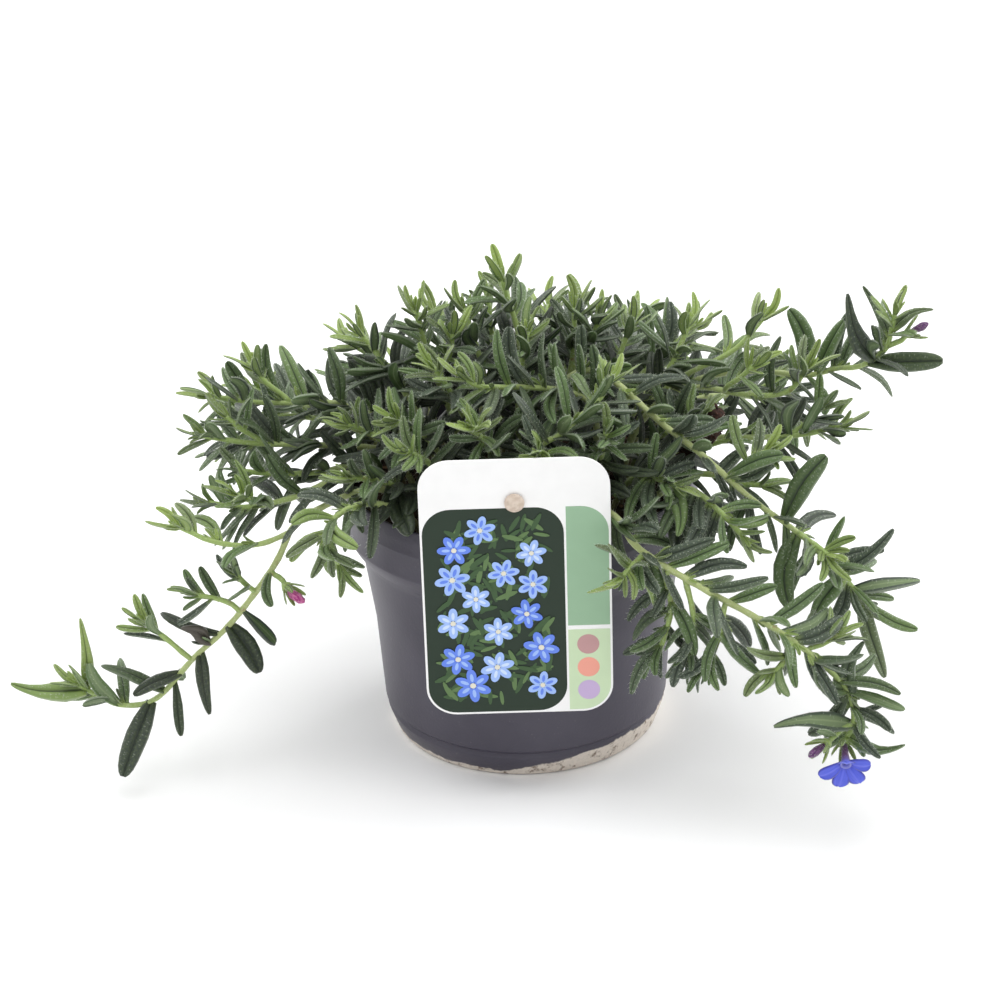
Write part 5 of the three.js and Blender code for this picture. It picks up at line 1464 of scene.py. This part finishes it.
def select(pieces):
    bpy.ops.object.select_all(action="DESELECT")
    for piece in pieces:
        piece.select_set(True)
    bpy.context.view_layer.objects.active = pieces[0]


def cutAway(piece, cutter):
    select([piece])
    cut = piece.modifiers.new("cut", "BOOLEAN")
    cut.operation = "DIFFERENCE"
    cut.object = cutter
    cut.solver = "EXACT"
    bpy.ops.object.modifier_apply(modifier="cut")
    bpy.data.objects.remove(cutter)


def joined(pieces, name):
    select(pieces)
    bpy.ops.object.join()
    pieces[0].name = name
    return pieces[0]


def smoothed(piece, degrees):
    select([piece])
    bpy.ops.object.shade_smooth_by_angle(angle=math.radians(degrees))
    bpy.ops.object.select_all(action="DESELECT")


def dressed(piece, finishes, node):
    for finish in finishes:
        piece.data.materials.append(finish)
    standFor(piece, node)


# The pot: sizes in mm, the outline that leaves keep clear of, and its colours. The lime crust on its
# foot rises from limeLow to limeHigh with a ragged edge, in metres, and leaves the middle underneath
# bare, where the square of the distance from the axis is under bareSquare.
pot = {"rim": 60, "height": 94, "wall": 1.2, "segments": 128, "drains": 6, "drainRadius": 3.5,
       "drainRing": 31,
       "outer": [(43, 0), (46, 0), (48.6, 7.6), (48, 9), (49.1, 10.4), (51, 41), (54.5, 66), (56.4, 70),
                 (60, 76), (60, 94)],
       "limeLow": 0.0021, "limeHigh": 0.0078, "limeRagged": 0.006, "bareSquare": 0.0018,
       "look": {"plastic": (0.050, 0.045, 0.065), "light": (0.072, 0.066, 0.089), "lime": (0.62, 0.56, 0.50),
                "white": (0.75, 0.68, 0.60), "dirt": (0.16, 0.11, 0.08), "dust": (0.22, 0.20, 0.20)}}


def makePotFinish():
    look = pot["look"]
    finish = newFinish("potPlastic", specular=0.4)
    position = finish.position()
    x, y, z = finish.axes(position)
    cloud = finish.noise(position, 24.0, 3.0)
    plastic = finish.mix(finish.range(cloud, 0.3, 0.75), look["plastic"], look["light"])
    specks = finish.noise(position, 900.0, 2.0, 0.6)
    plastic = finish.mix(finish.range(specks, 0.68, 0.8, 0.0, 0.35), plastic, look["dust"])
    ragged = finish.noise(position, 70.0, 4.0, 0.6)
    turn = finish.math("ARCTAN2", x, finish.math("MULTIPLY", y, -1.0))
    reach = finish.range(turn, -0.15, 0.55, pot["limeLow"], pot["limeHigh"])
    ragged = finish.math("MULTIPLY", finish.math("SUBTRACT", ragged, 0.5), pot["limeRagged"])
    limed = finish.range(finish.math("SUBTRACT", finish.math("ADD", reach, ragged), z), -0.0002, 0.0005)
    squares = finish.math("ADD", finish.math("MULTIPLY", x, x), finish.math("MULTIPLY", y, y))
    limed = finish.math("MULTIPLY", limed, finish.math("GREATER_THAN", squares, pot["bareSquare"]))
    spots = finish.noise(position, 330.0, 4.0, 0.65)
    crust = finish.mix(finish.range(spots, 0.52, 0.66), look["lime"], look["dirt"])
    crust = finish.mix(finish.range(specks, 0.35, 0.6, 0.0, 0.45), crust, look["white"])
    roughness = finish.range(limed, 0.0, 1.0, 0.43, 0.9)
    finish.values(color=finish.mix(limed, plastic, crust), roughness=roughness)
    grain = finish.math("ADD", finish.math("MULTIPLY", specks, 0.25), finish.math("MULTIPLY", limed, spots))
    finish.bump(grain, 0.5, 0.0006)
    return finish.material


def makePot():
    # the wall as radius and height: under the foot, up the outside, over the rim and down the inside
    rim, wall, height = pot["rim"], pot["wall"], pot["height"]
    under = [(19, 0), (20.2, 2.6), (21.4, 4), (41, 4), (42.2, 2.6), (42.6, 0.2), (43, 0)]
    outer = [(45.6, 0), (46, 0.4), (48.35, 7.0), (48.55, 7.7), (48.2, 8.5), (48.0, 9.2), (48.4, 10.0),
             (49.1, 10.6), (49.7, 20), (50.4, 31), (51, 41), (52.4, 51), (54.5, 66), (55.0, 68),
             (56.2, 69.6), (58.0, 71.6), (59.5, 74.4), (59.95, 75.4), (60.12, 75.9), (60.0, 76.5),
             (60, 84.3), (60.14, 84.8), (60.14, 85.2), (60, 85.7), (60, 89), (rim, height - 0.7),
             (rim - 0.2, height - 0.15), (rim - 0.6, height)]
    inner = [(rim - wall + 0.2, height - 0.2), (rim - wall, height - 0.8), (58.8, 85), (58.8, 76.6),
             (57.4, 73), (54.6, 69), (53.2, 66), (51.2, 51), (49.8, 41), (45.5, 5.4), (19, 5.4)]
    shell = turnedShell("pot_shell", under + outer + inner, pot["segments"])
    cutters = []
    ring, floorHeight, depth = pot["drainRing"] * mm, 5 * mm, 6 * mm
    for i in range(pot["drains"]):
        turn = i / pot["drains"] * 2 * math.pi
        place = (ring * math.cos(turn), ring * math.sin(turn), floorHeight)
        bpy.ops.mesh.primitive_cylinder_add(vertices=24, radius=pot["drainRadius"] * mm, depth=depth,
                                            location=place)
        cutters.append(bpy.context.object)
    cutAway(shell, joined(cutters, "drainCutter"))
    smoothed(shell, 40)
    dressed(shell, [makePotFinish()], "pot")


# Soil

# The soil in mm: its side as radius and height, the rings of its top, and the lumps that lie on it
soil = {"top": 84, "crown": 3, "holeDepth": 9, "segments": 72, "radius": 58.2, "lumps": 900, "lumpsTo": 57.0,
        "pale": 0.03,
        "side": [(0.5, 5.7), (45.0, 5.7), (49.3, 41), (52.8, 66), (58.2, 77.2), (58.3, 83)],
        "rings": (57.6, *range(55, 3, -3), 1.5),
        "look": {"dark": (0.016, 0.011, 0.008), "brown": (0.060, 0.036, 0.022), "fibre": (0.20, 0.13, 0.075),
                 "pearl": (0.70, 0.68, 0.62)}}


def makeSoilFinish():
    # leafTone: chance number of a lump, 1 where it is a pale grain
    look = soil["look"]
    finish = newFinish("soilPeat", roughness=0.95, specular=0.2)
    _, lump, pale, _ = finish.attribute("leafTone")
    crumbs = finish.noise(finish.position(), 420.0, 5.0, 0.7)
    brown = finish.mix(finish.range(crumbs, 0.35, 0.65), look["dark"], look["brown"])
    brown = finish.mix(finish.range(lump, 0.72, 0.9, 0.0, 0.8), brown, look["fibre"])
    brown = finish.mix(pale, brown, look["pearl"])
    finish.values(color=brown)
    finish.bump(crumbs, 1.0, 0.0012)
    return finish.material


def soilHeight(x, y):
    rough = 1.1 * noise.noise(Vector((x * 0.16, y * 0.16, 3.1)))
    fine = 0.6 * noise.noise(Vector((x * 0.5, y * 0.5, 7.7)))
    return soil["top"] + soil["crown"] * (1 - math.hypot(x, y) / 58) + rough + fine - 0.4


def makeSoil(chance):
    bpy.ops.object.select_all(action="DESELECT")
    bpy.ops.mesh.primitive_ico_sphere_add(subdivisions=1, radius=1)
    grain = bpy.context.object
    grainPoints = np.array([vertex.co for vertex in grain.data.vertices])
    grainCorners = np.array([corner for face in grain.data.polygons for corner in face.vertices])
    grainSizes = np.full(len(grain.data.polygons), 3)
    bpy.data.objects.remove(grain)
    gathered = Gathered()
    segments = soil["segments"]
    turns = np.arange(segments) / segments * 2 * math.pi
    across, rise = np.cos(turns), np.sin(turns)
    rows = [np.stack([r * across, r * rise, np.full(segments, z)], axis=1) for r, z in soil["side"]]
    for r in soil["rings"]:
        places = [(r * math.cos(t), r * math.sin(t)) for t in turns]
        rows.append(np.array([(x, y, soilHeight(x, y)) for x, y in places]))
    corners, sizes = skinFaces(len(rows), segments)
    points = np.concatenate(rows)
    blank = np.zeros((len(points), 3))
    gathered.add(points, corners, sizes, blank, blank, 0)
    for _ in range(soil["lumps"]):
        out = soil["lumpsTo"] * math.sqrt(chance.random())
        turn = chance.uniform(0, 2 * math.pi)
        x, y = out * math.cos(turn), out * math.sin(turn)
        size = chance.uniform(0.5, 1.5) * np.array([1.5, 1.0, 0.6]) * chance.uniform(0.7, 1.3, 3)
        size = size * min(1, (soil["radius"] - out) / max(size.max(), 0.1))
        about = Matrix.Rotation(chance.uniform(0, 6.28), 3, "Z")
        spin = np.array(about @ Matrix.Rotation(chance.uniform(-0.5, 0.5), 3, "X"))
        shape = grainPoints * (1 + chance.normal(0, 0.14, (len(grainPoints), 1)))
        tone = np.tile([chance.random(), float(chance.random() < soil["pale"]), 0], (len(shape), 1))
        lump = (shape * size) @ spin.T + [x, y, soilHeight(x, y) + 0.3 * size[2]]
        gathered.add(lump, grainCorners, grainSizes, np.zeros_like(shape), tone, 0)
    piece = gathered.build("soil_peat", [makeSoilFinish()])
    for face in piece.data.polygons:
        face.use_smooth = False
    standFor(piece, "soil")


# Label: a white tag with a printed field of plain rosettes among sprigs, and plain blocks of colour

# Sizes in mm. The print lies in thin layers, and each sprig or rosette a stack higher than the one
# before. The column is where the blocks begin, from the middle, and the discs are heights and colours.
label = {"width": 61, "bottom": 33, "top": 125, "corner": 10, "thickness": 0.7, "centreX": -2,
         "layer": 0.03, "stack": 0.0015, "margin": 0.7, "printCorner": 9.3, "panelTop": 108, "column": 15.5,
         "sageBottom": 65, "sageCorner": 9, "baseTop": 63.5, "discAside": 22.6, "discRadius": 3.6,
         "discs": ((58, "pink"), (49.5, "peach"), (41, "lilac")),
         "sprigs": 170, "blossoms": 15, "apart": 10.2, "petals": 6,
         "look": {"white": (0.90, 0.90, 0.895), "field": (0.014, 0.030, 0.016),
                  "sprig": (0.045, 0.095, 0.035), "spray": (0.11, 0.19, 0.07), "blue": (0.13, 0.24, 0.80),
                  "pale": (0.34, 0.50, 0.90), "ice": (0.60, 0.72, 0.93), "heart": (0.75, 0.72, 0.60),
                  "sage": (0.30, 0.47, 0.31), "peach": (0.85, 0.36, 0.28), "pink": (0.52, 0.30, 0.30),
                  "lilac": (0.55, 0.42, 0.66), "leafPale": (0.58, 0.72, 0.48)}}


def tagPlate(name, left, right, bottom, top, front, depth, corner, rounded=(1, 1, 1, 1)):
    # a flat block whose upright edges are bevelled round, seen from the front: lower left, lower
    # right, upper right, upper left
    bpy.ops.object.select_all(action="DESELECT")
    bpy.ops.mesh.primitive_cube_add(size=1, location=(0, 0, 0))
    plate = bpy.context.object
    plate.name = name
    plate.scale = ((right - left) * mm, depth * mm, (top - bottom) * mm)
    plate.location = ((left + right) / 2 * mm, (front + depth / 2) * mm, (bottom + top) / 2 * mm)
    bpy.ops.object.transform_apply(location=True, scale=True)
    if corner:
        bpy.ops.object.mode_set(mode="EDIT")
        bpy.ops.mesh.select_all(action="DESELECT")
        shape = bmesh.from_edit_mesh(plate.data)
        ends = [(left, bottom), (right, bottom), (right, top), (left, top)]
        for edge in shape.edges:
            a, b = (vertex.co / mm for vertex in edge.verts)
            if abs(a.y - b.y) < depth / 2:
                continue
            nearest = min(range(4), key=lambda i: math.hypot(a.x - ends[i][0], a.z - ends[i][1]))
            edge.select = bool(rounded[nearest])
        bmesh.update_edit_mesh(plate.data)
        bpy.ops.mesh.bevel(offset=corner * mm, segments=10, affect="EDGES")
        bpy.ops.object.mode_set(mode="OBJECT")
    return plate


def tagDisc(x, z, radius, front, sides=20, slimness=1.0, turn=0.0):
    # a thin round or oval patch of print, its long side turned by an angle
    depth = label["layer"]
    bpy.ops.mesh.primitive_cylinder_add(vertices=sides, radius=1, depth=1)
    disc = bpy.context.object
    disc.scale = (radius * mm, slimness * radius * mm, depth * mm)
    disc.rotation_euler = (math.pi / 2, turn, 0)
    disc.location = (x * mm, (front + depth / 2) * mm, z * mm)
    bpy.ops.object.transform_apply(location=True, rotation=True, scale=True)
    return disc


def scattered(count, left, right, bottom, top, apart, chance):
    # places at random in a field, none nearer to another than the wanted distance
    places = []
    for _ in range(40 * count):
        spot = (chance.uniform(left, right), chance.uniform(bottom, top))
        if len(places) < count and all(math.dist(spot, other) > apart for other in places):
            places.append(spot)
    return places


def makePrintFinish(name, color):
    finish = newFinish(name, roughness=0.4, specular=0.3)
    tone = finish.noise(finish.position(), 160.0, 2.0)
    finish.values(color=finish.mix(finish.range(tone, 0.3, 0.7), tuple(0.975 * c for c in color), color))
    return finish.material


def addBlossom(printed, x, z, front, number, chance):
    # a plain printed rosette of oval petals
    size = chance.uniform(4.6, 6.0)
    spin = chance.uniform(0, 1)
    layer, petals = label["layer"], label["petals"]
    tones = (("pale", "ice"), ("blue", "pale"), ("pale", "blue"))[number % 3]
    for k in range(petals):
        turn = spin + k * 2 * math.pi / petals
        across, rise = math.cos(turn), math.sin(turn)
        level = front - 0.002 * k
        outer = tagDisc(x + 0.6 * size * across, z + 0.6 * size * rise, 0.45 * size, level, 14, 0.62, -turn)
        printed(outer, tones[0])
        level -= layer
        inner = tagDisc(x + 0.5 * size * across, z + 0.5 * size * rise, 0.26 * size, level, 10, 0.4, -turn)
        printed(inner, tones[1])
    printed(tagDisc(x, z, 0.17 * size, front - 2 * layer, 10), "heart")


def makeLabel(chance):
    front = -(pot["rim"] + gap + label["thickness"])
    middle = label["centreX"]
    left, right = middle - label["width"] / 2, middle + label["width"] / 2
    tag = tagPlate("label_tag", left, right, label["bottom"], label["top"], front, label["thickness"],
                   label["corner"])
    place = (middle * mm, front * mm, peg["z"] * mm)
    bpy.ops.mesh.primitive_cylinder_add(vertices=32, radius=(peg["shank"] + gap) * mm, depth=4 * mm,
                                        location=place, rotation=(math.pi / 2, 0, 0))
    cutAway(tag, bpy.context.object)
    finishes = {name: makePrintFinish(f"print_{name}", color) for name, color in label["look"].items()}
    tag.data.materials.append(finishes["white"])
    parts = [tag]

    def printed(piece, tone):
        piece.data.materials.append(finishes[tone])
        parts.append(piece)

    layer, stack, corner = label["layer"], label["stack"], label["printCorner"]
    face = front - layer
    margin, top = label["margin"], label["panelTop"]
    low = label["bottom"] + margin
    split = middle + label["column"]
    printed(tagPlate("field", left + margin, split, low, top, face, layer, corner), "field")
    sides = split + margin, right - margin
    sage = tagPlate("sage", *sides, label["sageBottom"], top, face, layer, label["sageCorner"], (0, 0, 1, 0))
    printed(sage, "sage")
    base = tagPlate("base", *sides, low, label["baseTop"], face, layer, corner, (0, 1, 0, 0))
    printed(base, "leafPale")
    for z, tone in label["discs"]:
        printed(tagDisc(middle + label["discAside"], z, label["discRadius"], face - layer, 32), tone)
    for i in range(label["sprigs"]):
        x, z = chance.uniform(left + 6, split - 5), chance.uniform(low + 5, top - 5)
        level = face - layer - stack * i
        sprig = tagDisc(x, z, chance.uniform(2.4, 4.2), level, 10, 0.24, chance.uniform(0, math.pi))
        printed(sprig, "spray" if i % 3 == 0 else "sprig")
    spots = scattered(label["blossoms"], left + 8.5, split - 7.5, low + 7.5, top - 7.5, label["apart"],
                      chance)
    above = face - 2 * layer - stack * label["sprigs"]
    for i, (x, z) in enumerate(spots):
        addBlossom(printed, x, z, above - stack * i, i, chance)
    tag = joined(parts, "label_tag")
    smoothed(tag, 30)
    standFor(tag, "label")


# The peg in mm: z is the height of its head, and behindWall the room between the wall and its blade
peg = {"z": 110, "shank": 2.3, "head": 3.2, "headThickness": 1.2, "bladeWidth": 5, "bladeThickness": 1.6,
       "bladeCorner": 1.6, "foot": 79, "behindWall": 1.6,
       "look": {"dark": (0.56, 0.44, 0.35), "light": (0.70, 0.58, 0.49)}}


def makePeg():
    middle = label["centreX"]
    front = -(pot["rim"] + 2 * gap + label["thickness"])
    back = pegBladeY() + peg["bladeThickness"] / 2
    head, depth, shank = peg["head"], peg["headThickness"], peg["shank"]
    profile = [(0.4, depth), (1.2, depth - 0.05), (1.8, depth - 0.25), (2.4, depth - 0.32),
               (head - 0.25, depth - 0.45), (head, depth - 0.7), (head, 0.15), (head - 0.15, 0),
               (shank, 0), (shank, front - back + 0.8), (0.4, front - back + 0.8)]
    button = turnedShell("peg_button", profile, 32)
    button.rotation_euler = (math.pi / 2, 0, 0)
    button.location = (middle * mm, front * mm, peg["z"] * mm)
    bpy.ops.object.transform_apply(location=True, rotation=True)
    left, right = middle - peg["bladeWidth"] / 2, middle + peg["bladeWidth"] / 2
    face = pegBladeY() - peg["bladeThickness"] / 2
    blade = tagPlate("peg_blade", left, right, peg["foot"], peg["z"] + shank, face, peg["bladeThickness"],
                     peg["bladeCorner"], (1, 1, 0, 0))
    piece = joined([button, blade], "label_peg")
    smoothed(piece, 35)
    finish = newFinish("pegBeige", roughness=0.45, subsurface=0.05)
    tone = finish.noise(finish.position(), 700.0, 3.0)
    finish.values(color=finish.mix(finish.range(tone, 0.3, 0.7), peg["look"]["dark"], peg["look"]["light"]))
    finish.bump(tone, 0.3, 0.0004)
    dressed(piece, [finish.material], "label_stake")


# The making

setCamera()
setLights()
makeFloor()
chance = np.random.default_rng(5)
chains = makeChains()
settle(chains)
for chain in chains:
    straighten(chain)
print("stems settled:", len(chains))
blooms = findBlooms(chains)
blades, crowd = growLeaves(chains, blooms)
print("leaves like the solids:", sum(len(own) for own in blades))
addExtras(chains, blades, crowd)
print("leaves in all:", sum(len(own) for own in blades))
leafFinishes = [makeLeafFinish(), makeStemFinish(), makeHairFinish()]
for node, plan in enumerate(leafyStems):
    makeLeafyStem(node, plan, chains, blades, blooms, leafFinishes, chance)
print("leafy stems made")
petal = makePetalFinish()
hairs = leafFinishes[2]
budFinish = makeSpindleFinish("budPurple", bud)
witheredFinish = makeSpindleFinish("corollaWithered", withered)
for bloom in blooms:
    stemName = leafyStems[bloom["node"]]["name"].replace("stem_", "")
    if bloom["kind"] == "flower":
        standFor(makeCorolla(bloom, petal, hairs, chance), "flower_corolla")
    elif bloom["kind"] == "bud":
        tip = makeSpindle(f"bud_tip_{stemName}", bloom, bud, budFinish, hairs, chance)
        standFor(tip, f"bud_{stemName}")
    else:
        dried = makeSpindle("corolla_withered", bloom, withered, witheredFinish, hairs, chance)
        standFor(dried, "withered_corolla")
standFor(makeTwig(chains[-1], chance), "twig")
print("blooms and twig made")
makePot()
makeSoil(chance)
makeLabel(chance)
makePeg()
print("pot, soil, label and peg made")
